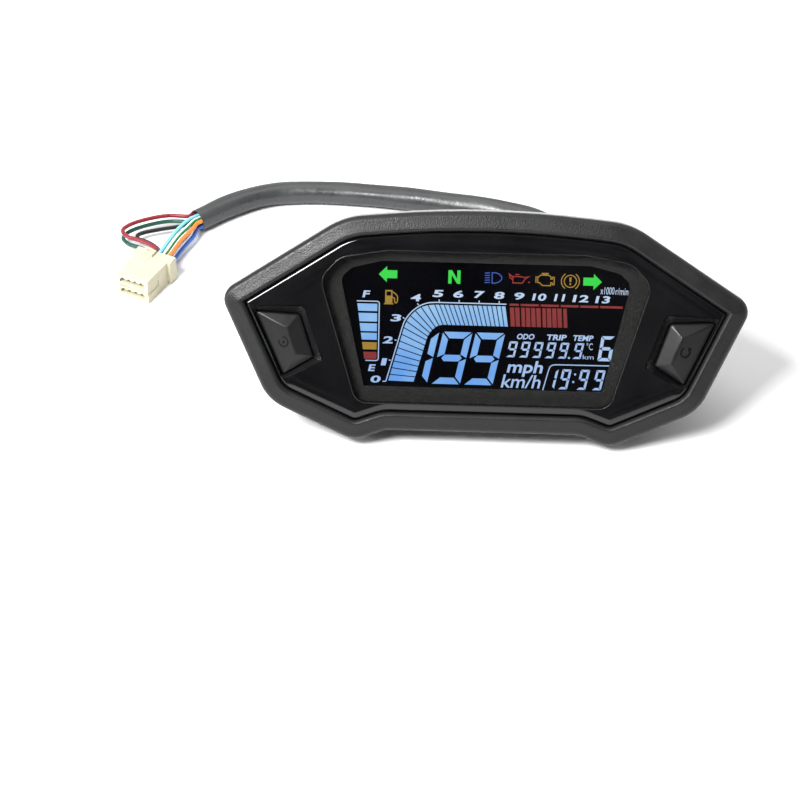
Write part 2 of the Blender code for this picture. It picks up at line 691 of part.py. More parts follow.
# Wires between the sleeve's end and the connector: colour, column, row and the plan points between.
# Columns count from the outer side of the bend inwards, and row 1 is the upper one.
WIRE_COLUMNS = (0.0023, 0.0024)     # spacing of the columns at the sleeve and at the connector
WIRE_ROWS = (0.0014, 0.0022)        # half the spacing of the rows at each
WIRE_LEADS = (0.0022, 0.0045)       # each wire runs straight for this long at either end
OUTER_LOOP = (
    (-0.1385, 0.1036), (-0.1465, 0.1008), (-0.1535, 0.0965), (-0.1567, 0.0915), (-0.1540, 0.0868),
    (-0.1480, 0.0840), (-0.1428, 0.0805),
)
INNER_LOOP = (
    (-0.1345, 0.0996), (-0.1425, 0.0972), (-0.1498, 0.0940), (-0.1502, 0.0907), (-0.1452, 0.0880),
    (-0.1406, 0.0834),
)
WIRES = (
    ("wire_red", (0.30, 0.02, 0.03), -1.5, 1, OUTER_LOOP),
    ("wire_dark_green", (0.02, 0.10, 0.06), -1.5, -1, OUTER_LOOP),
    ("wire_black", (0.015, 0.015, 0.016), -0.5, -1, INNER_LOOP),
    ("wire_sky_blue", (0.35, 0.72, 0.88), -0.5, 1, ((-0.1314, 0.0968), (-0.1347, 0.0884))),
    ("wire_green", (0.05, 0.35, 0.12), 0.5, 1, ((-0.1292, 0.0950), (-0.1325, 0.0873))),
    ("wire_brown", (0.12, 0.06, 0.04), 0.5, -1, ((-0.1289, 0.0947), (-0.1322, 0.0870))),
    ("wire_orange", (0.85, 0.27, 0.05), 1.5, 1, ((-0.1270, 0.0932), (-0.1303, 0.0858))),
    ("wire_blue", (0.06, 0.20, 0.62), 1.5, -1, ((-0.1266, 0.0927), (-0.1298, 0.0852))),
)


def wire_route(column, row, between):
    """Out of the sleeve's end, through the plan points, and square on to the connector's rear face."""
    end, before = Vector(SLEEVE_ROUTE[-1]), Vector(SLEEVE_ROUTE[-2])
    heading = (end - before).normalized()
    start = end + heading * GAP + Vector((heading.y, -heading.x)) * -column * WIRE_COLUMNS[0]
    back = Vector((-math.sin(CONNECTOR_TURN), math.cos(CONNECTOR_TURN)))
    rear = Vector(CONNECTOR_CENTRE) + back * (CONNECTOR_SIZE[1] / 2 + GAP)
    arrive = rear + Vector((back.y, -back.x)) * column * WIRE_COLUMNS[1]
    plan = [start, start + heading * WIRE_LEADS[0], *(Vector(point) for point in between),
            arrive + back * WIRE_LEADS[1], arrive]
    first = SLEEVE_LIE + row * WIRE_ROWS[0]
    last = CONNECTOR_SIZE[2] / 2 + row * WIRE_ROWS[1]
    heights = [first, first] + [first + (last - first) * (k + 1) / (len(between) + 1) for k in range(len(between))]
    return [Vector((*point, height)) for point, height in zip(plan, [*heights, last, last])]


def harness():
    straight = [FACE.matrix_world @ Vector((EXIT_X, depth, EXIT_HEIGHT)) for depth in (0.0440, 0.0520, 0.0600)]
    landing = FACE.matrix_world @ Vector((EXIT_X + 0.0012, 0.0695, EXIT_HEIGHT))
    landing.z = SLEEVE_LIE + 0.0024
    lying = [Vector((x, y, SLEEVE_LIE)) for x, y in SLEEVE_ROUTE]
    tube("harness_sleeve", [*straight, landing, *lying], SLEEVE_RADIUS, SLEEVE_VINYL, 0.012, resolution=3)
    for name, colour, column, row, between in WIRES:
        tube(name, wire_route(column, row, between), WIRE_RADIUS, material(name, colour, 0.35), 0.0030)


def harness_connector():
    """A two-row nylon plug lying flat, with a latch at its rear and long contact slots in its mating end."""
    width, length, height = CONNECTOR_SIZE
    collar_width, collar_length = COLLAR_SIZE
    bm = bmesh.new()
    bmesh.ops.create_cube(bm, size=1.0, matrix=Matrix.Diagonal((width, length, height, 1.0)))
    plug = from_bmesh("harness_connector", bm, NYLON)
    plug.location = (*CONNECTOR_CENTRE, height / 2)
    plug.rotation_euler = (0.0, 0.0, CONNECTOR_TURN)
    bm = bmesh.new()
    bmesh.ops.create_cube(bm, size=1.0, matrix=Matrix.Translation((0.0, (length - collar_length) / 2, 0.0002))
                          @ Matrix.Diagonal((collar_width, collar_length - 0.0002, height - 0.0004, 1.0)))
    collar = from_bmesh("connector_collar", bm, None, CUTTERS)
    bm = bmesh.new()
    bmesh.ops.create_cube(bm, size=1.0, matrix=Matrix.Translation((-0.0026, length / 2 - 0.0027, height / 2))
                          @ Matrix.Diagonal((0.0056, 0.0040, 0.0026, 1.0)))
    latch = from_bmesh("connector_latch", bm, None, CUTTERS)
    bm = bmesh.new()
    for rise in (-0.0027, 0.0027):
        place = Matrix.Translation((0.0, -length / 2 + 0.0040, rise))
        bmesh.ops.create_cube(bm, size=1.0, matrix=place @ Matrix.Diagonal((0.0118, 0.0100, 0.0019, 1.0)))
    slots = from_bmesh("connector_slots", bm, None, CUTTERS)
    for tool in (collar, latch, slots):
        tool.location = plug.location
        tool.rotation_euler = plug.rotation_euler
    join(plug, collar)
    join(plug, latch)
    cut(plug, slots)


# ---------------------------------------------------------------- assembly

front_bezel()
front_lens()
display_mask()
push_buttons()
lcd_stack()
main_board()
housing_seal()
rear_housing()
case_screws()
rear_fixings()
harness_grommet()
stand_on_bench()
harness()
harness_connector()
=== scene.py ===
"""Looks of the motorcycle instrument cluster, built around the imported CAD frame.

Everything on the case is drawn in millimetres in the face frame: x across, depth into the case and
height up the face.  Everything that lies on the bench is drawn in metres in the row frame.
"""
import json
import math

import bmesh
import bpy
from mathutils import Euler, Matrix, Vector


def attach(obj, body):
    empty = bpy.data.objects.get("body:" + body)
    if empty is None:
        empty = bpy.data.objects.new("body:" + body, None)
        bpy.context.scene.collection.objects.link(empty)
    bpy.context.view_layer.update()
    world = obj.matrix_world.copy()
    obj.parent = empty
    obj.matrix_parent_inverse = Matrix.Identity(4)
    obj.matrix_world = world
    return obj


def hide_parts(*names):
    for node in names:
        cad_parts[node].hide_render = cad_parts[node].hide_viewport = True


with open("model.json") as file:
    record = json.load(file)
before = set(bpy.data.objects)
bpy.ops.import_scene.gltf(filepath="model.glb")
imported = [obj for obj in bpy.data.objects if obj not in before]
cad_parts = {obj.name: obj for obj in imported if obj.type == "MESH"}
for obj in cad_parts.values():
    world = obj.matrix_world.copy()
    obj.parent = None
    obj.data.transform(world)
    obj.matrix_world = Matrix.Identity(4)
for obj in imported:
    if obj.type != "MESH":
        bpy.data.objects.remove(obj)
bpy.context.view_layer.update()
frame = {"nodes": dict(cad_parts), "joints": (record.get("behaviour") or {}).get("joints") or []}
NODES = frame["nodes"]
MM = 0.001

# ---------------------------------------------------------------- design values, in millimetres

FACE_LEAN = math.radians(28.0)      # the face leans back from upright
# Right half of the case outline, bottom to top: x, height, corner radius.
CASE_HALF = ((37.0, 2.0, 9.0), (49.5, -2.55, 11.0), (83.0, 12.6, 18.0), (101.9, 54.0, 6.5), (54.5, 84.4, 30.0))
CASE_CROWN = (0.0, 89.7, 390.0)     # middle of the top edge
# Right halves of the LCD's glass and of the lens's clear window, the same way.
LCD_HALF = ((46.8, 17.6, 1.0), (56.6, 61.0, 5.0), (51.8, 65.6, 6.0), (40.0, 68.5, 10.0))
WINDOW_HALF = ((48.8, 12.9, 6.0), (63.2, 61.2, 7.0), (55.6, 69.4, 9.0), (38.0, 72.5, 25.0))
LCD_FRONT = 8.2                     # depth of the glass
RIM_INSET = 7.5                     # width of the rim
LENS_EDGE = 7.9                     # the lens begins this far inside the case outline
LENS_FLAT = 0.5                     # depth of the lens where it is flat
LENS_FALL = 0.9                     # the lens's edge lies this much deeper
LENS_REACH = 8.0                    # width of the band in which it falls away
# Depths of the case's layers, and insets of the flange and the cup from the case outline.
BEZEL_BACK = 12.0
FLANGE_INSET = 1.6
FLANGE_FRONT = 13.3
FLANGE_BACK = 15.9
CUP_INSET = 8.8                     # clear of the screw heads
CUP_FLOOR = 43.0
CUP_BACK = 45.0
BOSS_BACK = 48.0
STUD = (45.0, 46.0)                 # the right stud, across and up; the left one mirrors it
VENT = (20.0, 64.0)                 # the vent in the cup's back
EXIT = (22.0, 40.0)                 # where the harness leaves the cup

# The right button's opening, the lip round it and the ends of its cap's ridge; the left one mirrors them.
BUTTON_OPENING = ((77.3, 22.2, 1.2), (88.8, 47.8, 1.2), (70.6, 47.0, 2.0), (64.9, 29.9, 1.2))
BUTTON_LIP = ((77.5, 21.4, 1.2), (89.7, 49.4, 1.2), (69.3, 50.1, 2.4), (62.0, 29.3, 1.2))
BUTTON_RIDGE = ((75.4, 41.8), (71.8, 31.6))
BUTTON_RISE = 1.0                   # the ridge stands this far in front of the rim
BUTTON_GAP = 0.4                    # between a cap and its opening
BUTTON_SHOULDER = 2.6               # depth of the foot of the cap's facets


def face_frame():
    """From millimetres across, into and up the face to the row frame, found from the joints and the LCD."""
    into = Vector(frame["joints"][0]["axis"]).normalized()
    up = Vector((0.0, -into.z, into.y))
    glass = [vertex.co for vertex in NODES["lcd_glass"].data.vertices]
    front = min(co.dot(into) for co in glass) - LCD_FRONT * MM
    low = min(co.dot(up) for co in glass) - LCD_HALF[0][1] * MM
    turn = Matrix((Vector((1.0, 0.0, 0.0)), into, up)).transposed().to_4x4()
    return Matrix.Translation(into * front + up * low) @ turn @ Matrix.Scale(MM, 4)


FACE = face_frame()
AS_DRAWN = Matrix.Identity(4)

# ---------------------------------------------------------------- camera, floor and light

AZIMUTH, ELEVATION, DISTANCE = math.radians(2.5), math.radians(40.0), 0.9
FOCAL_LENGTH = 106.1
AIM_HEIGHT = 44.0                   # the camera aims at this height on the face
AIM_SHIFT = (0.03225, 0.02786)      # and stands this far to the left and down, in metres
FLOOR_REACH = 12.0
LIGHT_AIM = Vector((0.0, 0.0, 0.05))
# Name, place and size in metres, power in watts.
LIGHTS = (
    ("key", (-0.63, -0.66, 1.10), (0.55, 0.40), 36.0),
    ("strip", (-1.08, -0.31, 0.42), (0.50, 0.22), 3.5),
    ("top", (-0.1, 0.35, 1.3), (1.2, 0.9), 5.0),
)
ROOM_LIGHT = 0.84
DARK_SIDE = (0.06, -0.88, 0.47)     # the room is dark and patchy in this direction
DARK_PATCHES = 0.20                 # strength of the brightest patch there


def linked(name, data):
    """A new object in the scene."""
    made = bpy.data.objects.new(name, data)
    bpy.context.scene.collection.objects.link(made)
    return made


def fill(tree, made, inputs):
    """Set a node's inputs: a socket is linked, and any other value is set on the input itself."""
    for name, value in inputs.items():
        if isinstance(value, bpy.types.NodeSocket):
            tree.links.new(value, made.inputs[name])
        else:
            made.inputs[name].default_value = value


def node(tree, kind, output, inputs=(), **settings):
    """A new node of a kind; returns one of its outputs."""
    made = tree.nodes.new("ShaderNode" + kind)
    for name, value in settings.items():
        setattr(made, name, value)
    fill(tree, made, dict(inputs))
    return made.outputs[output]


def ranged(tree, value, low, high, start=0.3, end=0.7):
    return node(tree, "MapRange", "Result", {"Value": value, "From Min": start, "From Max": end, "To Min": low,
                                             "To Max": high})


def material(name):
    made = bpy.data.materials.new(name)
    made.use_nodes = True
    return made, made.node_tree, made.node_tree.nodes["Principled BSDF"]


def camera():
    """Looks down at the face from the front, a little from its right."""
    turn = Euler((math.radians(90.0) - ELEVATION, 0.0, AZIMUTH)).to_matrix()
    data = bpy.data.cameras.new("camera")
    data.lens = FOCAL_LENGTH
    data.clip_start, data.clip_end = 0.05, 20.0
    made = linked("camera", data)
    made.location = FACE @ Vector((0.0, 0.0, AIM_HEIGHT)) + turn @ Vector((-AIM_SHIFT[0], -AIM_SHIFT[1], DISTANCE))
    made.rotation_euler = turn.to_euler()
    bpy.context.scene.camera = made


def bench():
    """A plain pale floor."""
    reach = FLOOR_REACH
    mesh = bpy.data.meshes.new("floor")
    mesh.from_pydata([(-reach, -reach, 0.0), (reach, -reach, 0.0), (reach, reach, 0.0), (-reach, reach, 0.0)],
                     [], [(0, 1, 2, 3)])
    paper, tree, shader = material("paper")
    fill(tree, shader, {"Base Color": (0.88, 0.88, 0.89, 1.0), "Roughness": 0.7})
    mesh.materials.append(paper)
    linked("floor", mesh)


def room():
    """Even light all round, but for the dark side that the lens reflects.  The camera sees plain white."""
    world = bpy.data.worlds.new("studio")
    bpy.context.scene.world = world
    world.use_nodes = True
    tree = world.node_tree
    place = node(tree, "TexCoord", "Generated")
    toward = node(tree, "VectorMath", "Value", {0: place, 1: DARK_SIDE}, operation="DOT_PRODUCT")
    cloud = node(tree, "TexNoise", "Fac", {"Scale": 13.0, "Detail": 2.0, "Vector": place})
    shade = node(tree, "Mix", "Result", {"Factor": ranged(tree, toward, 0.0, 1.0, 0.50, 0.80), "A": ROOM_LIGHT,
                                         "B": ranged(tree, cloud, 0.0, DARK_PATCHES, 0.35, 0.75)})
    seen = node(tree, "LightPath", "Is Camera Ray")
    strength = node(tree, "Mix", "Result", {"Factor": seen, "A": shade, "B": 1.0})
    fill(tree, tree.nodes["Background"], {"Color": (1.0, 1.0, 1.0, 1.0), "Strength": strength})


def lamps():
    for name, place, size, power in LIGHTS:
        data = bpy.data.lights.new(name, "AREA")
        data.shape = "RECTANGLE"
        data.size, data.size_y = size
        data.energy = power
        made = linked(name, data)
        made.location = place
        made.rotation_euler = (Vector(place) - LIGHT_AIM).to_track_quat("Z", "Y").to_euler()
        made.visible_camera = False


bpy.context.scene.view_settings.view_transform = "Standard"
camera()
bench()
room()
lamps()

# ---------------------------------------------------------------- materials


def noise_at(tree, size, detail=3.0, stretch=(1.0, 1.0, 1.0)):
    """A noise whose features are about size millimetres."""
    scaled = node(tree, "Mapping", "Vector", {"Scale": stretch, "Vector": node(tree, "TexCoord", "Object")})
    return node(tree, "TexNoise", "Fac", {"Scale": 1000.0 / size, "Detail": detail, "Vector": scaled})


def mixed(tree, factor, first, second):
    return node(tree, "Mix", "Result", {"Factor": factor, "A": (*first, 1.0), "B": (*second, 1.0)},
                data_type="RGBA")


def surface(name, colour, roughness, metallic=0.0, grain=0.4, relief=0.02, blotch=9.0, swing=0.12, tint=0.12,
            stretch=(1.0, 1.0, 1.0), specular=0.5):
    """A finish with fine grain in its relief and slow variation in its colour and roughness."""
    made, tree, shader = material(name)
    slow = noise_at(tree, blotch)
    fine = noise_at(tree, grain, 2.0, stretch)
    fill(tree, shader, {
        "Base Color": mixed(tree, ranged(tree, slow, 0.0, 1.0), [c * (1.0 - tint) for c in colour],
                            [min(1.0, c * (1.0 + tint)) for c in colour]),
        "Roughness": node(tree, "Math", "Value", {
            0: ranged(tree, slow, -swing / 2, swing / 2),
            1: ranged(tree, fine, roughness - swing / 2, roughness + swing / 2)}),
        "Normal": node(tree, "Bump", "Normal", {"Distance": relief * MM, "Height": fine}),
        "Metallic": metallic,
        "Specular IOR Level": specular,
    })
    return made


def lit(name, low_colour, high_colour):
    """A lit display segment, a little paler towards the top of the display."""
    made, tree, shader = material(name)
    bottom, top = ((FACE @ Vector((0.0, 0.0, height))).z for height in (20.0, 60.0))
    rise = node(tree, "SeparateXYZ", "Z", {"Vector": node(tree, "TexCoord", "Object")})
    share = node(tree, "Math", "Value", {0: ranged(tree, rise, 0.0, 1.0, bottom, top),
                                         1: ranged(tree, noise_at(tree, 14.0), -0.25, 0.25)}, use_clamp=True)
    fill(tree, shader, {"Emission Color": mixed(tree, share, low_colour, high_colour), "Emission Strength": 1.0,
                        "Base Color": (0.01, 0.01, 0.012, 1.0), "Roughness": 0.35})
    return made


def clear_plastic(name):
    """A thin clear sheet: it lets light straight through and reflects like plastic."""
    made, tree, shader = material(name)
    tree.nodes.remove(shader)
    through = node(tree, "BsdfTransparent", "BSDF", {"Color": (0.93, 0.93, 0.93, 1.0)})
    smear = ranged(tree, noise_at(tree, 6.0, 4.0, (1.0, 0.25, 0.25)), 0.02, 0.10)
    gloss = node(tree, "BsdfGlossy", "BSDF", {"Roughness": smear})
    front_only = node(tree, "Mix", "Result", {"Factor": node(tree, "NewGeometry", "Backfacing"),
                                              "A": node(tree, "Fresnel", "Fac", {"IOR": 1.49}), "B": 0.0})
    blend = node(tree, "MixShader", "Shader", {"Fac": front_only, 1: through, 2: gloss})
    fill(tree, tree.nodes["Material Output"], {"Surface": blend})
    return made


BEZEL = surface("bezel_plastic", (0.0078, 0.0078, 0.0079), 0.42, grain=0.55, relief=0.12, blotch=14.0, swing=0.16,
                specular=0.36)
SIDE = surface("bezel_side", (0.011, 0.011, 0.0112), 0.22, grain=0.6, relief=0.015, blotch=14.0, swing=0.06)
HOUSING = surface("housing_plastic", (0.012, 0.012, 0.0124), 0.46, grain=0.80, relief=0.10, blotch=16.0,
                  specular=0.4)
LENS = surface("lens_black", (0.004, 0.004, 0.0045), 0.045, grain=7.0, relief=0.004, blotch=18.0, swing=0.04,
               tint=0.3)
TRIM = surface("lens_trim", (0.012, 0.012, 0.0125), 0.14, grain=2.0, relief=0.004, blotch=9.0, swing=0.05)
WINDOW = clear_plastic("lens_window")
MASK = surface("mask_grain", (0.0075, 0.0079, 0.0069), 0.60, grain=0.70, relief=0.24, blotch=2.2, tint=0.35,
               specular=0.32)
GLASS = surface("display_glass", (0.0005, 0.0006, 0.0016), 0.18, grain=2.0, relief=0.002, blotch=20.0, tint=0.3,
                specular=0.12)
BUTTON = surface("button_plastic", (0.006, 0.006, 0.0063), 0.37, grain=0.45, relief=0.045, blotch=6.0,
                 specular=0.31)
MARK = surface("button_mark", (0.0025, 0.0025, 0.0026), 0.6, grain=0.3, relief=0.01, blotch=3.0, specular=0.08)
LIP = surface("lens_lip", (0.009, 0.009, 0.0095), 0.20, grain=0.8, relief=0.01, blotch=5.0, swing=0.08)
RUBBER = surface("rubber", (0.018, 0.018, 0.018), 0.68, grain=0.5, relief=0.03)
STEEL = surface("zinc_steel", (0.66, 0.66, 0.63), 0.26, 1.0, grain=0.8, relief=0.012, blotch=4.0, tint=0.15)
CAN = surface("can_metal", (0.72, 0.72, 0.72), 0.30, 1.0, grain=0.5, relief=0.005)
SLEEVE = surface("sleeve_vinyl", (0.040, 0.041, 0.042), 0.33, grain=2.2, relief=0.10, blotch=12.0, swing=0.14)
NYLON = surface("nylon", (0.55, 0.515, 0.36), 0.42, grain=0.7, relief=0.015, blotch=6.0, tint=0.05)
WHITE = surface("white_plastic", (0.78, 0.78, 0.76), 0.45, grain=0.6, relief=0.01, tint=0.05)
CHIP = surface("black_plastic", (0.018, 0.018, 0.018), 0.45, grain=0.3, relief=0.02)
LED = surface("led_package", (0.80, 0.78, 0.60), 0.30, grain=0.5, relief=0.01, tint=0.06)
BOARD = surface("board", (0.015, 0.12, 0.05), 0.32, grain=1.2, relief=0.02, tint=0.2)
RIBBON = surface("ribbon", (0.50, 0.24, 0.04), 0.33, grain=1.0, relief=0.01, stretch=(1.0, 0.1, 0.1))

SEGMENT = lit("segment_blue", (0.145, 0.400, 0.960), (0.400, 0.700, 1.000))
LEGEND = lit("legend_pale", (0.400, 0.600, 0.980), (0.640, 0.800, 1.000))
RED_SEGMENT = lit("segment_red", (0.250, 0.018, 0.014), (0.290, 0.022, 0.018))
AMBER = lit("tell_amber", (0.400, 0.230, 0.012), (0.420, 0.250, 0.020))
GREEN = lit("tell_green", (0.020, 0.720, 0.050), (0.030, 0.800, 0.060))
BEAM_BLUE = lit("tell_blue", (0.030, 0.090, 0.500), (0.035, 0.100, 0.520))
OIL_RED = lit("tell_red", (0.400, 0.020, 0.012), (0.420, 0.025, 0.015))

# ---------------------------------------------------------------- outlines


def flipped(corners):
    return [(-x, height, radius) for x, height, radius in reversed(corners)]


def mirrored(half, crown=()):
    return [*half, *crown, *flipped(half)]


def with_directions(corners):
    """Every corner's point and radius, and the directions in which the outline comes to it and leaves it."""
    for place, (x, height, radius) in enumerate(corners):
        here = Vector((x, height))
        before, after = Vector(corners[place - 1][:2]), Vector(corners[(place + 1) % len(corners)][:2])
        yield here, radius, (here - before).normalized(), (after - here).normalized()


def inset(corners, amount, least_radius=0.3):
    """Move every edge inwards.  Fillets shrink at outer corners and grow at hollow ones."""
    moved = []
    for here, radius, along_in, along_out in with_directions(corners):
        outward = Vector((along_in.y, -along_in.x))
        bisector = (outward + Vector((along_out.y, -along_out.x))).normalized()
        spot = here - bisector * (amount / bisector.dot(outward))
        hollow = along_in.x * along_out.y - along_in.y * along_out.x < 0.0
        grown = radius + amount if hollow else radius - amount
        moved.append((spot.x, spot.y, max(grown, least_radius)))
    return moved


def rounded(corners, finest_turn=math.radians(4.0), least_steps=8):
    """Points along a corner list with every corner turned into an arc."""
    points = []
    for here, radius, along_in, along_out in with_directions(corners):
        turn = math.atan2(along_in.x * along_out.y - along_in.y * along_out.x, along_in.dot(along_out))
        start = here - along_in * (radius * math.tan(abs(turn) / 2))
        centre = start + Vector((-along_in.y, along_in.x)) * math.copysign(radius, turn)
        steps = max(least_steps, math.ceil(abs(turn) / finest_turn))
        for step in range(steps + 1):
            point = centre + Matrix.Rotation(turn * step / steps, 2) @ (start - centre)
            points.append((point.x, point.y))
    return points


CASE = mirrored(CASE_HALF, (CASE_CROWN,))
LCD = mirrored(LCD_HALF)
SHOWN_WINDOW = mirrored(WINDOW_HALF)


def circle(x, height, radius, sides=48):
    return [(x + radius * math.cos(math.tau * k / sides), height + radius * math.sin(math.tau * k / sides))
            for k in range(sides)]


def box_outline(left, right, low, high):
    return [(left, low), (right, low), (right, high), (left, high)]


def box_about(x, height, wide, tall):
    return box_outline(x - wide / 2, x + wide / 2, height - tall / 2, height + tall / 2)


def at_depth(points, depth):
    return [Vector((x, depth, height)) for x, height in points]


def ring_at(corners, amount, depth, least_radius=0.3):
    return at_depth(rounded(inset(corners, amount, least_radius)), depth)


def opening_rings(*rows):
    """Rings round a button's opening, from corner lists and their depths."""
    return [at_depth(rounded(corners, math.pi, 10), depth) for corners, depth in rows]


def arc(centre, radii, start, end, steps):
    """Points on a part of an ellipse, angles in degrees."""
    return [(centre[0] + radii[0] * math.cos(math.radians(start + (end - start) * k / steps)),
             centre[1] + radii[1] * math.sin(math.radians(start + (end - start) * k / steps)))
            for k in range(steps + 1)]


def smooth_route(points, per_span=10):
    """A Catmull-Rom curve through a route."""
    points = [Vector(point) for point in points]
    ends = [points[0] * 2 - points[1], *points, points[-1] * 2 - points[-2]]
    made = []
    for a, b, c, d in zip(ends, ends[1:], ends[2:], ends[3:]):
        for step in range(per_span):
            t = step / per_span
            made.append(0.5 * (2 * b + (c - a) * t + (2 * a - 5 * b + 4 * c - d) * t ** 2
                               + (3 * b - a - 3 * c + d) * t ** 3))
    return [*made, points[-1]]


def evenly(route, spacing):
    """The same route with points at equal distances."""
    lengths = [0.0]
    for start, end in zip(route, route[1:]):
        lengths.append(lengths[-1] + (end - start).length)
    count = max(4, round(lengths[-1] / spacing))
    points, place = [], 0
    for k in range(count + 1):
        wanted = lengths[-1] * k / count
        while place < len(lengths) - 2 and lengths[place + 1] < wanted:
            place += 1
        share = (wanted - lengths[place]) / (lengths[place + 1] - lengths[place])
        points.append(route[place].lerp(route[place + 1], min(share, 1.0)))
    return points


# ---------------------------------------------------------------- building blocks


def piece(name, mesh, look, body="cluster", stands_for=(), sharp=32.0):
    """An object from a mesh that is already in the row frame, riding on its body."""
    mesh.name = name
    mesh.materials.clear()
    mesh.materials.append(look)
    mesh.shade_smooth()
    mesh.set_sharp_from_angle(angle=math.radians(sharp))
    made = linked(name, mesh)
    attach(made, body)
    if stands_for:
        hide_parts(*stands_for)
    return made


def evaluated(made, *tools):
    """The final mesh of an object, which is then removed along with its tools."""
    bpy.context.view_layer.update()
    mesh = bpy.data.meshes.new_from_object(made.evaluated_get(bpy.context.evaluated_depsgraph_get()))
    for ob in (made, *tools):
        bpy.data.objects.remove(ob, do_unlink=True)
    return mesh


def to_mesh(bm, place=FACE, weld=1e-4):
    bmesh.ops.remove_doubles(bm, verts=bm.verts, dist=weld)
    bmesh.ops.recalc_face_normals(bm, faces=bm.faces)
    bm.transform(place)
    mesh = bpy.data.meshes.new("mesh")
    bm.to_mesh(mesh)
    bm.free()
    return mesh


def loft(rings, closed=False, place=FACE, weld=1e-4):
    """Skin between rings with equal numbers of points, capped at both ends unless it closes on itself."""
    bm = bmesh.new()
    rows = [[bm.verts.new(point) for point in ring] for ring in rings]
    pairs = list(zip(rows, rows[1:]))
    if closed:
        pairs.append((rows[-1], rows[0]))
    else:
        bm.faces.new(rows[0])
        bm.faces.new(reversed(rows[-1]))
    for row, following in pairs:
        for k in range(len(row)):
            after = (k + 1) % len(row)
            bm.faces.new((row[k], row[after], following[after], following[k]))
    return to_mesh(bm, place, weld)


def sheet(outlines, front, back, place=FACE):
    """Flat outlines across the face made solid; an outline inside another is a hole."""
    curve = bpy.data.curves.new("outline", "CURVE")
    curve.dimensions = "2D"
    curve.fill_mode = "BOTH"
    curve.extrude = (back - front) / 2
    for points in outlines:
        spline = curve.splines.new("POLY")
        spline.points.add(len(points) - 1)
        for point, (x, height) in zip(spline.points, points):
            point.co = (x, height, 0.0, 1.0)
        spline.use_cyclic_u = True
    bm = bmesh.new()
    bm.from_mesh(evaluated(linked("outline", curve)))
    bm.transform(Matrix.Translation((0.0, (front + back) / 2, 0.0)) @ Matrix.Rotation(math.radians(90.0), 4, "X"))
    return to_mesh(bm, place)


def turned(profile, centre, sides=48, place=FACE):
    """A turned solid square to the face.  The profile is (radius, depth) and closes on itself."""
    x, height = centre
    bm = bmesh.new()
    rows = []
    for radius, depth in profile:
        if radius <= 0.0:
            rows.append([bm.verts.new((x, depth, height))] * sides)
        else:
            rows.append([bm.verts.new(point) for point in at_depth(circle(x, height, radius, sides), depth)])
    for row, following in zip(rows, [*rows[1:], rows[0]]):
        for k in range(sides):
            after = (k + 1) % sides
            corners = list(dict.fromkeys((row[k], row[after], following[after], following[k])))
            if len(corners) > 2:
                bm.faces.new(corners)
    return to_mesh(bm, place)


def block(centre, size):
    bm = bmesh.new()
    bmesh.ops.create_cube(bm, size=1.0, matrix=Matrix.Translation(centre) @ Matrix.Diagonal((*size, 1.0)))
    return to_mesh(bm, AS_DRAWN, 1e-9)


def carve(mesh, tool, operation="DIFFERENCE"):
    """Boolean of two meshes in the same frame."""
    made, cutter = linked("carve", mesh), linked("carve", tool)
    boolean = made.modifiers.new("carve", "BOOLEAN")
    boolean.operation = operation
    boolean.solver = "EXACT"
    boolean.object = cutter
    return evaluated(made, cutter)


def case_loft(section, closed=False):
    """A loft that follows the case outline.  The section is (inset, depth)."""
    return loft([ring_at(CASE, amount, depth) for amount, depth in section], closed)


def bevelled(made, width, segments=3, angle=35.0):
    bevel = made.modifiers.new("edges", "BEVEL")
    bevel.width = width * MM
    bevel.segments = segments
    bevel.limit_method = "ANGLE"
    bevel.angle_limit = math.radians(angle)
    return made


def merged(meshes):
    bm = bmesh.new()
    for mesh in meshes:
        bm.from_mesh(mesh)
    made = bpy.data.meshes.new("merged")
    bm.to_mesh(made)
    bm.free()
    return made


# ---------------------------------------------------------------- harness

# In metres, on the bench; routes are seen from above.
SLEEVE_LIE = 0.0053                 # height of the sleeve's centreline where it lies
SLEEVE_RADIUS = 0.0050
SLEEVE_ROUTE = (
    (0.0285, 0.0520), (0.0345, 0.0680), (0.0368, 0.0830), (0.0325, 0.0970), (0.0225, 0.1085),
    (0.0077, 0.1148), (-0.0076, 0.1185), (-0.0297, 0.1221), (-0.0518, 0.1249), (-0.0739, 0.1263),
    (-0.0958, 0.1238), (-0.1126, 0.1147), (-0.1258, 0.1028),
)
CONNECTOR_SIZE = (0.0155, 0.0208, 0.0110)
CONNECTOR_CENTRE = (-0.1433, 0.0621)
CONNECTOR_TURN = math.radians(-24.2)
WIRE_RADIUS = 0.0009
WIRE_COLUMNS = (0.0023, 0.0024)     # between neighbouring wires, at the sleeve's end and at the connector
WIRE_ROWS = (0.0014, 0.0022)        # half the distance between the two rows, at the same two places
WIRE_LEADS = (0.0022, 0.0045)       # straight lengths there
OUTER_LOOP = (
    (-0.1385, 0.1036), (-0.1465, 0.1008), (-0.1535, 0.0965), (-0.1567, 0.0915), (-0.1540, 0.0868),
    (-0.1480, 0.0840), (-0.1428, 0.0805),
)
INNER_LOOP = (
    (-0.1345, 0.0996), (-0.1425, 0.0972), (-0.1498, 0.0940), (-0.1502, 0.0907), (-0.1452, 0.0880),
    (-0.1406, 0.0834),
)
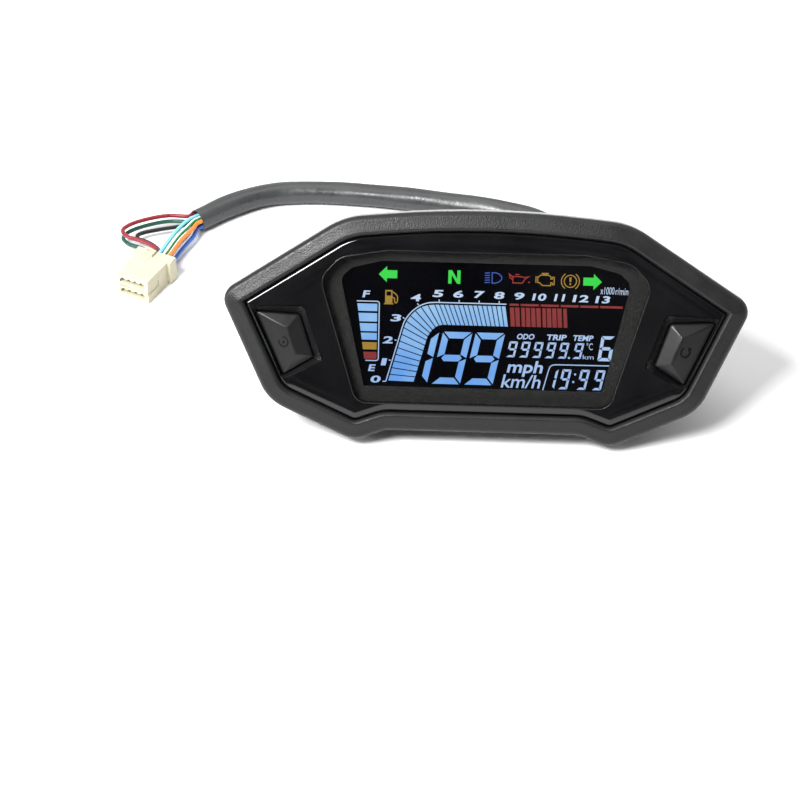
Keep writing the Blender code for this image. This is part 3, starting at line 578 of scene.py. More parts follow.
# Name, colour, column, row, and the route between the two straight lengths.
WIRES = (
    ("red", (0.22, 0.012, 0.020), -1.5, 1, OUTER_LOOP),
    ("dark_green", (0.010, 0.075, 0.050), -1.5, -1, OUTER_LOOP),
    ("black", (0.010, 0.010, 0.011), -0.5, -1, INNER_LOOP),
    ("sky_blue", (0.22, 0.58, 0.78), -0.5, 1, ((-0.1314, 0.0968), (-0.1347, 0.0884))),
    ("green", (0.02, 0.26, 0.09), 0.5, 1, ((-0.1292, 0.0950), (-0.1325, 0.0873))),
    ("brown", (0.10, 0.045, 0.030), 0.5, -1, ((-0.1289, 0.0947), (-0.1322, 0.0870))),
    ("orange", (0.85, 0.20, 0.030), 1.5, 1, ((-0.1270, 0.0932), (-0.1303, 0.0858))),
    ("blue", (0.030, 0.140, 0.55), 1.5, -1, ((-0.1266, 0.0927), (-0.1298, 0.0852))),
)


def frames_along(points):
    """Sideways and upward directions along a route, without twist."""
    made = []
    side = None
    for place in range(len(points)):
        ahead = points[min(place + 1, len(points) - 1)] - points[max(place - 1, 0)]
        ahead.normalize()
        if side is None:
            side = ahead.cross(Vector((0.0, 0.0, 1.0))).normalized()
        side = (side - ahead * side.dot(ahead)).normalized()
        made.append((side, side.cross(ahead)))
    return made


def tube_mesh(points, radius_at, sides=24, wall=None, depth=0.0):
    """A tube round a route.  radius_at(share, angle) gives its skin; a wall opens its far end."""
    directions = frames_along(points)
    last = len(points) - 1

    def ring(place, thinner=0.0):
        side, up = directions[place]
        angles = [math.tau * k / sides for k in range(sides)]
        return [points[place] + (side * math.cos(angle) + up * math.sin(angle))
                * (radius_at(place / last, angle) - thinner) for angle in angles]

    rings = [ring(place) for place in range(last + 1)]
    if wall:
        steps = max(2, round(depth / (points[-1] - points[-2]).length))
        rings += [ring(last - back, wall) for back in range(steps + 1)]
    return loft(rings, place=AS_DRAWN, weld=1e-7)


def sleeve_route():
    straight = [FACE @ Vector((EXIT[0], depth, EXIT[1])) for depth in (44.0, 52.0, 60.0)]
    landing = FACE @ Vector((EXIT[0] + 1.2, 69.5, EXIT[1]))
    landing.z = SLEEVE_LIE + 0.0024
    return [*straight, landing, *(Vector((x, y, SLEEVE_LIE)) for x, y in SLEEVE_ROUTE)]


def sleeve_skin(share, angle):
    """A soft sleeve, a little under its full radius, with long shallow folds over the wires inside."""
    ease = min(1.0, 6.0 * share)
    folds = (0.020 * math.sin(3 * angle + 9.0 * share) + 0.016 * math.sin(5 * angle - 23.0 * share)
             + 0.012 * math.sin(2 * angle + 61.0 * share) + 0.010 * math.sin(41.0 * share + 1.0))
    return SLEEVE_RADIUS * (0.985 + ease * folds)


def wire_route(column, row, between):
    """Out of the sleeve's end, through the plan points, and square on to the connector's rear face."""
    end, before = Vector(SLEEVE_ROUTE[-1]), Vector(SLEEVE_ROUTE[-2])
    heading = (end - before).normalized()
    inside = end - heading * 0.008 + Vector((heading.y, -heading.x)) * -column * 0.0019
    start = end + heading * 0.0003 + Vector((heading.y, -heading.x)) * -column * WIRE_COLUMNS[0]
    back = Vector((-math.sin(CONNECTOR_TURN), math.cos(CONNECTOR_TURN)))
    rear = Vector(CONNECTOR_CENTRE) + back * (CONNECTOR_SIZE[1] / 2 + 0.0003)
    arrive = rear + Vector((back.y, -back.x)) * column * WIRE_COLUMNS[1]
    plan = [inside, start, start + heading * WIRE_LEADS[0], *(Vector(point) for point in between),
            arrive + back * WIRE_LEADS[1], arrive, arrive - back * 0.002]
    first = SLEEVE_LIE + row * WIRE_ROWS[0]
    last = CONNECTOR_SIZE[2] / 2 + row * WIRE_ROWS[1]
    rise = [first + (last - first) * (k + 1) / (len(between) + 1) for k in range(len(between))]
    return [Vector((*point, height)) for point, height in zip(plan, [first, first, first, *rise, last, last, last])]


def harness():
    points = evenly(smooth_route(sleeve_route(), 24), 0.0022)
    mesh = tube_mesh(points, sleeve_skin, wall=0.0006, depth=0.011)
    sleeve = piece("sleeve", mesh, SLEEVE, stands_for=("harness_sleeve",), sharp=60.0)
    wires = []
    for name, colour, column, row, between in WIRES:
        look = surface("wire_" + name + "_vinyl", colour, 0.30, grain=1.5, relief=0.01, tint=0.08)
        route = evenly(smooth_route(wire_route(column, row, between), 24), 0.0009)
        mesh = tube_mesh(route, lambda share, angle: WIRE_RADIUS, sides=16)
        wires.append(piece("lead_" + name, mesh, look, stands_for=("wire_" + name,),
                           sharp=60.0))
        if name == "green":
            wires.append(piece("lead_stripe", stripe_mesh(route), WHITE, sharp=60.0))
    return sleeve, wires, points


def stripe_mesh(route):
    """A thin stripe along the top of a wire."""
    turns = [math.radians(angle) for angle in (62.0, 78.0, 94.0, 110.0)]
    rim = [(turn, 0.00004) for turn in turns] + [(turn, -0.0001) for turn in reversed(turns)]
    rings = [[point + (side * math.cos(turn) + up * math.sin(turn)) * (WIRE_RADIUS + lift) for turn, lift in rim]
             for point, (side, up) in zip(route, frames_along(route))]
    return loft(rings, place=AS_DRAWN, weld=1e-7)


def harness_connector():
    """Nylon plug: body, wider rear, latch with its slot, two contact slots and a groove in the mating end."""
    wide, long, tall = (size / MM for size in CONNECTOR_SIZE)
    place = (Matrix.Translation((*CONNECTOR_CENTRE, 0.0)) @ Matrix.Rotation(CONNECTOR_TURN, 4, "Z")
             @ Matrix.Scale(MM, 4))
    end, rear, middle = -long / 2, long / 2, tall / 2
    added = (
        ((0.0, rear - 2.5, middle + 0.2), (18.3, 5.0, tall - 0.4)),
        ((-2.6, rear - 2.7, tall - 0.2), (5.6, 4.0, 2.8)),
        ((-2.6, rear - 7.4, tall - 0.3), (3.4, 6.0, 1.2)),
        ((wide / 2 - 0.6, end + 5.0, tall - 0.2), (1.2, 10.0, 0.9)),
    )
    removed = [
        ((-2.6, rear - 1.9, tall + 1.0), (2.2, 0.9, 2.0)),
        ((0.0, end + 0.2, middle), (11.8, 0.9, 0.7)),
        ((wide / 2, end + 4.0, middle), (0.7, 9.0, 3.0)),
    ]
    for rise in (-2.7, 2.7):
        removed.append(((0.0, end + 4.0, middle + rise), (11.8, 10.0, 1.9)))
        removed += [((x, end + 3.0, middle + rise + 0.9), (1.1, 7.6, 1.2)) for x in (-4.5, -1.5, 1.5, 4.5)]
    mesh = block((0.0, 0.0, middle), (wide, long, tall))
    for centre, size in added:
        mesh = carve(mesh, block(centre, size), "UNION")
    for centre, size in removed:
        mesh = carve(mesh, block(centre, size))
    mesh.transform(place)
    made = piece("connector", mesh, NYLON, stands_for=("harness_connector",), sharp=30.0)
    return bevelled(made, 0.28, 3)


sleeve, wires, sleeve_points = harness()
connector = harness_connector()

# ---------------------------------------------------------------- case


def front_bezel():
    section = [
        (0.0, 4.5), *arc((2.2, 3.6), (2.2, 2.55), 186.0, 262.0, 10),
        (3.4, 0.72), (4.6, 0.38), (5.6, 0.10), (6.0, 0.02), (6.3, 0.02), (6.6, 0.14),
        (7.3, 1.3), (RIM_INSET, 1.7), (RIM_INSET, 3.0), (2.4, 3.0), (2.4, 4.5),
    ]
    rim = piece("bezel", case_loft(section, closed=True), BEZEL, stands_for=("front_bezel",),
                sharp=40.0)
    wall = [(0.0, 4.5), (0.03, 8.0), (0.35, 11.6), (0.75, BEZEL_BACK), (2.4, BEZEL_BACK), (2.4, 4.5)]
    side = piece("bezel_side", case_loft(wall, closed=True), SIDE, sharp=40.0)
    side.parent = rim


def lens_depth(inwards):
    """Depth of the lens's front at a distance inwards from its edge."""
    return LENS_FLAT + LENS_FALL * max(0.0, 1.0 - inwards / LENS_REACH) ** 2


CASE_EDGE = [Vector(point) for point in rounded(inset(CASE, LENS_EDGE))]


def edge_distance(x, height):
    """How far a point of the face lies inside the lens's edge."""
    here = Vector((x, height))
    least = LENS_REACH
    for start, end in zip(CASE_EDGE, [*CASE_EDGE[1:], CASE_EDGE[0]]):
        along = end - start
        if along.length > 1e-6:
            share = max(0.0, min(1.0, (here - start).dot(along) / along.length_squared))
            least = min(least, (start + along * share - here).length)
    return least


def lens():
    """A black border that falls away towards the bezel, round a clear window in the same surface."""
    shoulder = ((0.0, 0.85), (0.10, 0.50), (0.28, 0.25), (0.52, 0.08))
    steps = [0.85 + LENS_REACH * (k / 22) ** 1.15 for k in range(23)]
    section = [(2.6, 5.0), (2.6, 3.3), (LENS_EDGE, 3.3),
               *[(LENS_EDGE + d, lens_depth(d) + fall) for d, fall in shoulder],
               *[(LENS_EDGE + d, lens_depth(d)) for d in steps]]
    whole = case_loft(section)
    border = carve(whole.copy(), sheet([rounded(SHOWN_WINDOW)], -4.0, 9.0))
    openings = (("right", BUTTON_LIP, BUTTON_OPENING), ("left", flipped(BUTTON_LIP), flipped(BUTTON_OPENING)))
    for _, lip, opening in openings:
        border = carve(border, loft(opening_rings((inset(lip, -1.3), -0.9), (inset(lip, -0.25), 0.9), (lip, 1.15),
                                                  (opening, 3.6), (opening, 6.0))))
    border_piece = piece("lens_border", border, LENS, stands_for=("front_lens",), sharp=24.0)
    for side, lip, opening in openings:
        rings = opening_rings((inset(lip, 0.10), 1.12), (inset(opening, 0.06), 3.5), (inset(opening, 0.06), 4.1),
                              (inset(lip, 0.10), 1.9))
        ledge = piece("lens_lip_" + side, loft(rings, closed=True), LIP, sharp=30.0)
        ledge.parent = border_piece
    window = carve(whole, sheet([rounded(inset(SHOWN_WINDOW, 0.03))], -4.0, 9.0), "INTERSECT")
    piece("lens_window", window, WINDOW, sharp=50.0)
    rings = []
    for amount, lift in arc((0.0, 0.0), (0.15, 0.07), 180.0, 360.0, 6):
        rings.append([Vector((x, lens_depth(edge_distance(x, height)) + lift, height))
                      for x, height in rounded(inset(SHOWN_WINDOW, amount))])
    piece("window_edge", loft(rings, closed=True), TRIM, sharp=60.0)


def facet_place(outer, ridge):
    """From a flat drawing, in millimetres, to the cap's outer facet: x runs across and z along the ridge."""
    low, high = (Vector((x, BUTTON_SHOULDER, height)) for x, height in outer)
    end, start = (Vector((x, -BUTTON_RISE, height)) for x, height in ridge)
    middle = (low + high) * 0.18 + (end + start) * 0.32
    up = (end - start).normalized()
    out = (high - low).cross(end - low).normalized()
    out *= -1.0 if out.y > 0.0 else 1.0
    across = out.cross(up)
    across *= 1.0 if across.x > 0.0 else -1.0
    turn = Matrix((across, -out, up)).transposed().to_4x4()
    return Matrix.Translation(middle) @ turn


def button(side):
    """A faceted cap with softened edges and a moulded mark on its outer facet."""
    cap, ridge = inset(BUTTON_OPENING, BUTTON_GAP), BUTTON_RIDGE
    if side == "left":
        cap, ridge = flipped(cap), [(-x, height) for x, height in BUTTON_RIDGE]
    points = rounded(cap, math.pi, 10)
    rings = [at_depth(points, depth) for depth in (5.4, BUTTON_SHOULDER)]
    roof = []
    for x, height in points:
        nearest = min(ridge, key=lambda end: abs(end[1] - height))
        roof.append(Vector((nearest[0], -BUTTON_RISE, nearest[1])))
    made = piece("cap_" + side, loft([*rings, roof]), BUTTON, body="button_" + side,
                 stands_for=("button_" + side,), sharp=12.0)
    bevelled(made, 0.7, 4, 12.0)
    edge = [cap[0][:2], cap[1][:2]] if side == "right" else [cap[3][:2], cap[2][:2]]
    ring = stroke(circle(0.0, 0.0, 1.9, 40), 0.5, closed=True)
    mark = [*ring, circle(0.0, 0.0, 0.6, 16)] if side == "left" else [
        *stroke(arc((0.0, 0.0), (1.9, 1.9), -230.0, 50.0, 30), 0.5), [(0.3, 2.4), (2.0, 2.0), (1.2, 0.6)]]
    mesh = sheet(mark, -0.09, 0.05, place=FACE @ facet_place(edge, ridge))
    raised = piece("mark_" + side, mesh, MARK, body="button_" + side)
    raised.parent = made


def rear_foot_inset(depth):
    """How far in the cup's outline must be, at a depth, for its lower edge to reach the bench."""
    low, high = (min(point[1] for point in rounded(inset(CASE, amount))) for amount in (FLANGE_INSET, 15.0))
    rise = (depth - FLANGE_BACK) * math.tan(FACE_LEAN)
    return FLANGE_INSET + rise / (high - low) * (15.0 - FLANGE_INSET)


def rear_housing():
    """A tapered cup with a screw flange, two stud bosses with webs, and a vent."""
    edge = CUP_BACK - 1.6
    outer = rear_foot_inset(edge)
    flange = [(FLANGE_INSET + more, depth) for more, depth in (
        (0.7, FLANGE_FRONT), (0.2, 13.45), (0.0, 13.9), (0.0, 15.3), (0.2, 15.75), (0.7, FLANGE_BACK))]
    cup = [(CUP_INSET - 0.9, FLANGE_BACK), (CUP_INSET - 0.2, 16.15), (CUP_INSET + 0.15, 16.9),
           *arc((outer + 1.6, edge), (1.6, 1.6), 180.0, 90.0, 6)]
    inside = [(outer + 2.2, CUP_FLOOR), (CUP_INSET + 2.2, FLANGE_FRONT)]
    rings = [ring_at(CASE, amount, depth, least)
             for points, least in ((inside, 2.0), (flange, 1.0), (cup, 3.2)) for amount, depth in points]
    mesh = loft(rings)
    mesh = carve(mesh, turned([(0.0, 44.0), (5.2, 44.0), (5.2, 47.0), (0.0, 47.0)], VENT))
    boss = [(0.0, 41.0), (12.2, 44.2), (12.2, 45.0), (11.2, 45.2), (10.4, 45.8), (10.0, 46.8), (10.0, 47.5),
            (9.85, 47.85), (9.5, BOSS_BACK), (0.0, BOSS_BACK)]
    for x in (-STUD[0], STUD[0]):
        mesh = carve(mesh, turned(boss, (x, STUD[1])), "UNION")
        for wide, tall in ((26.0, 1.4), (1.4, 30.0)):
            mesh = carve(mesh, sheet([box_about(x, STUD[1], wide, tall)], 44.0, 46.6), "UNION")
    made = piece("rear_cup", mesh, HOUSING, stands_for=("rear_housing",), sharp=28.0)
    bevelled(made, 0.25, 2, 40.0)
    vent = turned([(0.0, 44.0), (4.9, 44.0), (4.9, 44.9), (4.4, 45.3), (3.0, 45.4), (2.6, 45.1), (0.0, 45.1)], VENT)
    piece("vent_cap", vent, RUBBER)


def threaded_rod(centre, radius, start, end, pitch=1.0, sides=40, per_pitch=8):
    """A rod with a real helical thread and a chamfered tip."""
    rings = []
    for row in range(round((end - start) / pitch * per_pitch) + 1):
        depth = start + row * pitch / per_pitch
        ring = []
        for k in range(sides):
            wave = abs(2.0 * ((depth / pitch + k / sides) % 1.0) - 1.0)
            local = min(radius - 0.62 * pitch * 0.61 * wave, radius - 0.8 + (end - depth) * 1.1)
            turn = math.tau * k / sides
            ring.append(Vector((centre[0] + local * math.cos(turn), depth, centre[1] + local * math.sin(turn))))
        rings.append(ring)
    return loft(rings)


def hexagon_nut(centre, across_corners, front, back, bore):
    """A hexagon with both ends chamfered and a countersunk bore."""
    middle = across_corners / 2
    hexagon = sheet([circle(*centre, middle, 6)], front, back)
    cone = turned([(0.0, front), (middle * 0.90, front), (middle * 1.02, front + 0.7), (middle * 1.02, back - 0.7),
                   (middle * 0.90, back), (0.0, back)], centre, 64)
    mesh = carve(hexagon, cone, "INTERSECT")
    hole = turned([(0.0, front - 1.0), (bore + 1.4, front - 1.0), (bore, front + 0.4), (bore, back - 0.4),
                   (bore + 1.4, back + 1.0), (0.0, back + 1.0)], centre, 32)
    return carve(mesh, hole)


def rear_fixings():
    for side, x in (("left", -STUD[0]), ("right", STUD[0])):
        centre = (x, STUD[1])
        piece("stud_" + side, threaded_rod(centre, 3.0, 40.8, 64.0), STEEL, stands_for=("mounting_stud_" + side,),
              sharp=50.0)
        damper = turned([(3.3, 50.6), (6.2, 50.6), (6.7, 50.75), (7.0, 51.2), (7.0, 51.9), (6.6, 52.3), (6.6, 52.9),
                         (7.0, 53.3), (7.0, 54.0), (6.7, 54.45), (6.2, 54.6), (3.3, 54.6)], centre)
        piece("damper_" + side, damper, RUBBER, stands_for=("stud_damper_" + side,))
        washer_and_nut = merged([
            turned([(3.2, 54.9), (5.55, 54.9), (5.7, 55.1), (5.7, 55.7), (5.55, 55.9), (3.2, 55.9)], centre),
            hexagon_nut(centre, 11.4, 55.9, 59.9, 2.75)])
        piece("nut_" + side, washer_and_nut, STEEL, stands_for=("stud_nut_" + side,), sharp=25.0)


def case_screws():
    """Pan heads with a cross recess, at the case's lower, side and upper corners."""
    ring = inset(CASE, 4.6)
    spots = [(round(side * abs(ring[place][0]), 6), ring[place][1]) for side in (1, -1) for place in (3, 4, 1)]
    for number, (x, height) in enumerate(spots, start=1):
        head = turned([(0.0, 14.0), (1.0, 14.0), (1.0, 16.2), (2.4, 16.2), (2.4, 17.0), (2.2, 17.45), (1.7, 17.72),
                       (1.0, 17.8), (0.0, 17.8)], (x, height), 32)
        for wide, tall in ((2.1, 0.55), (0.55, 2.1)):
            head = carve(head, sheet([box_about(x, height, wide, tall)], 16.9, 19.0))
        piece(f"screw_{number}", head, STEEL, stands_for=(f"case_screw_{number}",), sharp=35.0)


def grommet():
    """A tapered rubber nose with ribs, closed round the sleeve."""
    nose = [(5.2, 44.0), (7.0, 44.0), (7.0, 45.3), (8.7, 45.3), (9.0, 45.6), (9.0, 46.5), (8.7, 46.9), (8.0, 47.3)]
    for k in range(4):
        at, wide = 48.3 + 2.1 * k, 7.9 - 0.32 * k
        nose += [(wide - 0.05, at - 0.2), (wide - 0.1, at + 0.9), (wide - 0.75, at + 1.1), (wide - 0.8, at + 1.7)]
    nose += [(6.5, 56.9), (6.2, 57.0), (5.2, 57.0)]
    piece("grommet", turned(nose, EXIT), RUBBER, stands_for=("harness_grommet",), sharp=28.0)


# ---------------------------------------------------------------- display

LIT_FRONT = LCD_FRONT - 0.08
LIT_BACK = LCD_FRONT - 0.03
TELL_LINE = 0.38                    # width of the lines in the warning lights' signs


def stroke(points, width, closed=False):
    """The outline, or the two outlines, of a line of constant width through points."""
    points = [Vector(point) for point in points]
    ways = [(after - point).normalized() for point, after in zip(points, [*points[1:], points[0]])]
    if not closed:
        ways[-1] = ways[-2]
    sides = ([], [])
    for place, point in enumerate(points):
        meeting = (ways[place - 1] if place or closed else ways[0], ways[place])
        normals = [Vector((-way.y, way.x)) for way in meeting]
        across = (normals[0] + normals[1]).normalized()
        across *= width / 2 / max(0.35, across.dot(normals[0]))
        sides[0].append(tuple(point + across))
        sides[1].append(tuple(point - across))
    if closed:
        return [sides[0], sides[1]]
    return [sides[0] + sides[1][::-1]]


def strokes(width, *routes):
    return [outline for route in routes for outline in stroke(route, width)]


# The segments that each digit lights, a at the top, then clockwise to f, and g in the middle.
SEGMENTS = {"1": "bc", "6": "acdefg", "9": "abcdfg"}


def seven_segment(character, x, low, width, height, thick, gap, slant=12.0):
    """Outlines of one mitred seven-segment digit whose lower left corner is at x, low."""
    w, h, t, g, m = width, height, thick, gap, height / 2
    upper = ((0.0, h - g), (t, h - t - g), (t, m + t / 2 + g / 2), (0.0, m + g / 2))
    lower = tuple((px, h - py) for px, py in upper)
    shapes = {
        "a": ((g, h), (w - g, h), (w - t - g, h - t), (t + g, h - t)),
        "d": ((g, 0.0), (w - g, 0.0), (w - t - g, t), (t + g, t)),
        "f": upper, "b": tuple((w - px, py) for px, py in upper),
        "e": lower, "c": tuple((w - px, py) for px, py in lower),
        "g": ((t / 2 + g, m), (t + g / 2, m + t / 2), (w - t - g / 2, m + t / 2), (w - t / 2 - g, m),
              (w - t - g / 2, m - t / 2), (t + g / 2, m - t / 2)),
    }
    lean = math.tan(math.radians(slant))
    return [[(x + px + py * lean, low + py) for px, py in shapes[letter]] for letter in SEGMENTS[character]]


def digits(places, low, *shape):
    """Digits on one line, from each one's character and left side."""
    return [outline for character, x in places for outline in seven_segment(character, x, low, *shape)]


def lettering(text, left, right, low, high, weight=0.02, slant=0.0):
    """Text fitted to a box, as a flat mesh across the face."""
    curve = bpy.data.curves.new("lettering", "FONT")
    curve.body = text
    curve.offset = weight
    curve.resolution_u = 4
    bm = bmesh.new()
    bm.from_mesh(evaluated(linked("lettering", curve)))
    (x_least, x_most), (y_least, y_most) = (
        (min(vert.co[axis] for vert in bm.verts), max(vert.co[axis] for vert in bm.verts)) for axis in (0, 1))
    lean = math.tan(math.radians(slant)) * (high - low)
    for vert in bm.verts:
        across, up = (vert.co.x - x_least) / (x_most - x_least), (vert.co.y - y_least) / (y_most - y_least)
        vert.co = Vector((left + across * (right - left - lean) + up * lean, LIT_FRONT, low + up * (high - low)))
    return to_mesh(bm, FACE, 1e-5)


def show(name, look, outlines=(), words=()):
    """One lit group of the display."""
    meshes = []
    if outlines:
        meshes.append(sheet(outlines, LIT_FRONT, LIT_BACK))
    meshes += [lettering(*word) for word in words]
    piece(name, merged(meshes), look)


def fuel_gauge():
    top, bottom = 50.5, 28.85
    heights = ((50.5, 47.6), (46.8, 43.5), (42.8, 39.7), (39.05, 36.35), (35.4, 32.55), (31.6, 28.85))

    def left_at(height):
        return -49.2 + (top - height) / (top - bottom) * 3.0

    bars = [[(left_at(high), high), (left_at(low), low), (-41.45, low), (-41.45, high)] for high, low in heights]
    show("fuel_level", SEGMENT, bars[:4])
    show("fuel_low", AMBER, [bars[4]])
    show("fuel_reserve", RED_SEGMENT, [bars[5]])
    frame_line = [(-49.4, 51.45), (-41.6, 51.45), (-41.0, 51.3), (-40.7, 50.8), (-40.7, 29.0), (-41.0, 28.45),
                  (-41.6, 28.2), (-45.7, 28.2)]
    show("fuel_frame", LEGEND, stroke(frame_line, 0.40),
         [("F", -47.3, -44.2, 52.9, 55.6, 0.03, 12.0), ("E", -44.6, -41.6, 24.0, 26.7, 0.03, 12.0)])
    pump = [box_outline(-38.5, -35.7, 50.9, 56.0), box_outline(-38.0, -36.2, 53.8, 55.4),
            box_outline(-38.9, -35.3, 50.4, 50.85)]
    hose = smooth_route([(-35.5, 55.3), (-34.3, 54.3), (-33.75, 53.4), (-33.8, 51.6), (-34.4, 51.0), (-34.85, 51.6),
                         (-34.9, 52.8), (-35.65, 53.2)], 4)
    show("fuel_pump", AMBER, [*pump, *stroke(hose, 0.42)])


# The band's outer and inner edges and the line outside it, from the slant through the bend to the level part.
TACH_OUTER = ((-36.7, 20.3), (-31.0, 41.4), (-30.0, 44.0), (-27.9, 47.0), (-25.1, 49.3), (-22.2, 50.4),
              (-19.3, 50.75))
TACH_INNER = ((-26.9, 20.1), (-22.3, 36.8), (-21.6, 38.6), (-20.5, 40.4), (-19.2, 41.7), (-17.8, 42.6), (-16.0, 43.0))
TACH_LINE = ((-37.6, 20.2), (-31.7, 41.6), (-30.7, 44.3), (-28.5, 47.4), (-25.5, 49.9), (-22.2, 51.3), (-19.0, 51.65))
TACH_REDLINE = 8.6


def between(points, share):
    place = min(int(share * (len(points) - 1)), len(points) - 2)
    rest = share * (len(points) - 1) - place
    return Vector(points[place]).lerp(Vector(points[place + 1]), rest)


def tachometer():
    """A band that rises on a slant, bends and runs level, cut into slices."""
    slices = []
    gap = 0.19

    def add(outer, inner, count):
        lengths = [(Vector(outer[-1]) - Vector(outer[0])).length, (Vector(inner[-1]) - Vector(inner[0])).length]
        for k in range(count):
            cut_outer, cut_inner = gap / lengths[0], gap / lengths[1]
            start, end = k / count, (k + 1) / count
            slices.append([tuple(between(outer, start + cut_outer)), tuple(between(outer, end - cut_outer)),
                           tuple(between(inner, end - cut_inner)), tuple(between(inner, start + cut_inner))])

    add(TACH_OUTER[:2], TACH_INNER[:2], 8)
    add(evenly(smooth_route(TACH_OUTER[1:], 8), 0.4), evenly(smooth_route(TACH_INNER[1:], 8), 0.2), 6)
    add((TACH_OUTER[-1], (TACH_REDLINE - 0.6, 50.8)), (TACH_INNER[-1], (TACH_REDLINE + 0.6, 42.95)), 15)
    show("tach_band", SEGMENT, slices)
    line = [TACH_LINE[0], *[tuple(p) for p in smooth_route(TACH_LINE[1:], 8)], (TACH_REDLINE - 0.4, 51.65)]
    marks = stroke([(-38.9, 20.05), *line], 0.42)
    for x in (-17.7, -10.0, -2.3, 5.4):
        marks.append(box_outline(x - 0.2, x + 0.2, 51.95, 52.8))
    for x, height, way in ((-35.6, 28.4, (-1.0, 0.2)), (-33.5, 36.3, (-1.0, 0.25)), (-30.6, 44.9, (-0.9, 0.5)),
                           (-25.4, 50.2, (-0.6, 0.8))):
        start = Vector((x, height)) + Vector(way) * 0.25
        marks += stroke([start, start + Vector(way) * 0.8], 0.4)
    words = []
    spots = ((-41.6, 20.9), (-38.5, 27.8), (-37.0, 36.5), (-34.1, 45.2), (-26.6, 53.3), (-18.1, 55.1), (-10.3, 55.1),
             (-2.4, 55.1), (5.4, 55.0), (13.0, 54.9), (20.8, 54.75), (28.5, 54.75), (36.7, 54.6), (45.1, 54.4))
    for number, (x, height) in enumerate(spots):
        half = {1: 1.25, 10: 2.9, 11: 2.2, 12: 3.3, 13: 3.0}.get(number, 2.25)
        words.append((str(number), x - half, x + half, height - 1.4, height + 1.4, 0.03, 12.0))
    words.append(("x1000", 43.95, 49.45, 56.5, 59.3, 0.0, 4.0))
    words.append(("r/min", 49.75, 54.8, 56.4, 59.2, 0.0, 4.0))
    show("tach_scale", LEGEND, marks, words)
    bars = []
    pitch = 2.02
    for k in range(11):
        left = TACH_REDLINE + 0.75 + k * pitch
        wide = 0.45 if k in (2, 6, 10) else 0.18
        bars.append([(left + wide + 0.5, 43.05), (left + pitch - 0.18 + 0.5, 43.05), (left + pitch - 0.18, 50.5),
                     (left + wide, 50.5)])
    edges = (9.1, 13.3, 21.0, 28.7, 36.2, 43.8, 53.1)
    bars += [box_outline(start + 0.3, end - 0.3, 51.1, 51.95) for start, end in zip(edges, edges[1:])]
    show("tach_red", RED_SEGMENT, bars)


def readouts():
    show("speed_digits", SEGMENT, digits((("1", -33.0), ("9", -20.2), ("9", -7.6)), 19.7, 11.3, 20.6, 2.55, 0.42))
    distance = [("9", 8.6 + 4.95 * k + (0.75 if k == 5 else 0.0)) for k in range(6)]
    clock = (("1", 24.0), ("9", 29.0), ("9", 36.1), ("9", 42.1))
    small = [*digits(distance, 31.0, 3.25, 6.2, 0.78, 0.13), circle(32.9, 31.3, 0.42, 12),
             *digits((("6", 43.8),), 30.4, 5.2, 9.8, 1.25, 0.2, 8.0),
             *digits(clock, 18.9, 3.5, 7.9, 0.88, 0.15), circle(35.5, 24.9, 0.42, 12), circle(34.9, 21.9, 0.42, 12)]
    corner = smooth_route([(25.2, 26.2), (25.8, 27.6), (26.7, 28.3), (28.2, 28.5)], 4)
    small += stroke([(23.2, 18.3), *[tuple(p) for p in corner], (50.6, 28.6)], 0.4)
    words = [("ODO", 12.4, 19.6, 38.1, 40.3, 0.03, 12.0), ("TRIP", 23.8, 31.9, 38.1, 40.3, 0.03, 12.0),
             ("TEMP", 33.9, 42.2, 38.1, 40.3, 0.03, 12.0), ("°C", 39.5, 41.9, 34.6, 37.4, 0.0, 0.0),
             ("km", 38.2, 42.4, 31.0, 32.7, 0.0, 0.0), ("mph", 8.7, 23.6, 23.4, 29.7, 0.02, 12.0),
             ("km/h", 6.9, 22.9, 18.9, 24.2, 0.01, 12.0)]
    show("readouts", LEGEND, small, words)


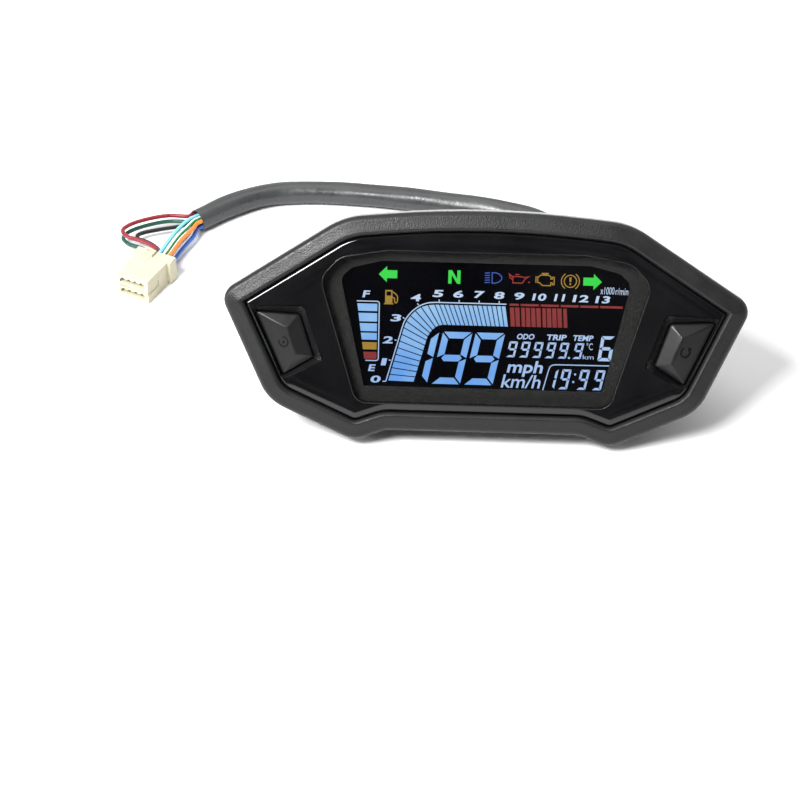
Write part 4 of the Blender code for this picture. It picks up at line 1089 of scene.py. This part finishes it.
def telltales():
    left_arrow = [(-41.1, 62.1), (-37.95, 65.2), (-37.95, 63.7), (-34.0, 63.7), (-34.0, 60.6), (-37.95, 60.6),
                  (-37.95, 59.0)]
    right_arrow = [(-x + 3.35, height - 0.9) for x, height in left_arrow]
    show("tell_turn", GREEN, [left_arrow, right_arrow])
    letter = [(-14.4, 59.1), (-14.4, 64.3), (-13.0, 64.3), (-11.0, 61.0), (-11.0, 64.3), (-9.7, 64.3), (-9.7, 59.1),
              (-11.0, 59.1), (-13.1, 62.5), (-13.1, 59.1)]
    show("tell_neutral", GREEN, [letter])
    lamp = [(2.4, 59.75), (2.4, 63.75), (3.8, 63.75), (5.2, 63.2), (6.1, 62.2), (6.1, 61.3), (5.2, 60.3),
            (3.8, 59.75)]
    rays = [[(-0.4, 63.55 - 0.93 * k), (1.55, 63.7 - 0.93 * k)] for k in range(5)]
    beam = stroke(lamp, 0.40, closed=True) + strokes(TELL_LINE, *rays)
    show("tell_beam", BEAM_BLUE, beam)
    can = stroke([(10.4, 60.0), (14.0, 60.0), (15.1, 61.7), (16.6, 62.6), (14.9, 62.2), (13.4, 62.5), (10.4, 62.5)],
                 TELL_LINE, closed=True)
    can += strokes(TELL_LINE, [(10.4, 62.2), (9.0, 63.4), (9.3, 61.9), (10.4, 61.2)], [(11.2, 63.3), (12.8, 63.3)])
    can.append(circle(16.6, 60.4, 0.32, 10))
    show("tell_oil", OIL_RED, can)
    engine = [(19.9, 60.4), (20.6, 60.4), (21.7, 59.3), (24.9, 59.3), (24.9, 60.4), (25.5, 60.4), (25.5, 59.7),
              (26.2, 59.7), (26.2, 62.6), (25.5, 62.6), (25.5, 61.9), (24.9, 61.9), (24.9, 62.7), (24.1, 63.3),
              (20.9, 63.3), (20.4, 62.7), (19.9, 62.7)]
    signs = stroke(engine, TELL_LINE, closed=True)
    signs += strokes(TELL_LINE, [(19.2, 60.3), (19.2, 62.8)], [(21.3, 64.0), (24.0, 64.0)])
    signs += stroke([(22.6, 63.4), (22.6, 64.0)], 0.45)
    signs += stroke(circle(32.4, 61.2, 2.35, 32), TELL_LINE, closed=True)
    brackets = [arc((32.4, 61.2), (3.45, 3.45), start, start + 110.0, 12) for start in (-55.0, 125.0)]
    signs += strokes(TELL_LINE, *brackets)
    signs += [[(32.1, 60.9), (32.7, 60.9), (32.85, 62.7), (31.95, 62.7)], circle(32.4, 60.1, 0.38, 12)]
    show("tell_engine_brake", AMBER, signs)


front_bezel()
lens()
for side in ("left", "right"):
    button(side)
rear_housing()
rear_fixings()
case_screws()
grommet()
fuel_gauge()
tachometer()
readouts()
telltales()

# ---------------------------------------------------------------- carried-over nodes

FINISHES = {
    MASK: ("display_mask",),
    GLASS: ("lcd_glass",),
    WHITE: ("lcd_frame", "light_guide", "switch_plunger_left", "switch_plunger_right"),
    CHIP: ("telltale_box", "microcontroller", "voltage_regulator", "switch_body_left", "switch_body_right"),
    BOARD: ("main_board",),
    RIBBON: ("lcd_ribbon",),
    CAN: ("crystal_can", "filter_capacitor"),
    NYLON: ("board_header", "header_plug"),
    SLEEVE: ("inner_lead",),
    RUBBER: ("housing_seal",),
    STEEL: tuple(name for name in NODES if name.startswith("board_screw")),
    LED: tuple(name for name in NODES if "_led_" in name),
}
for look, names in FINISHES.items():
    for name in names:
        NODES[name].data.materials.clear()
        NODES[name].data.materials.append(look)
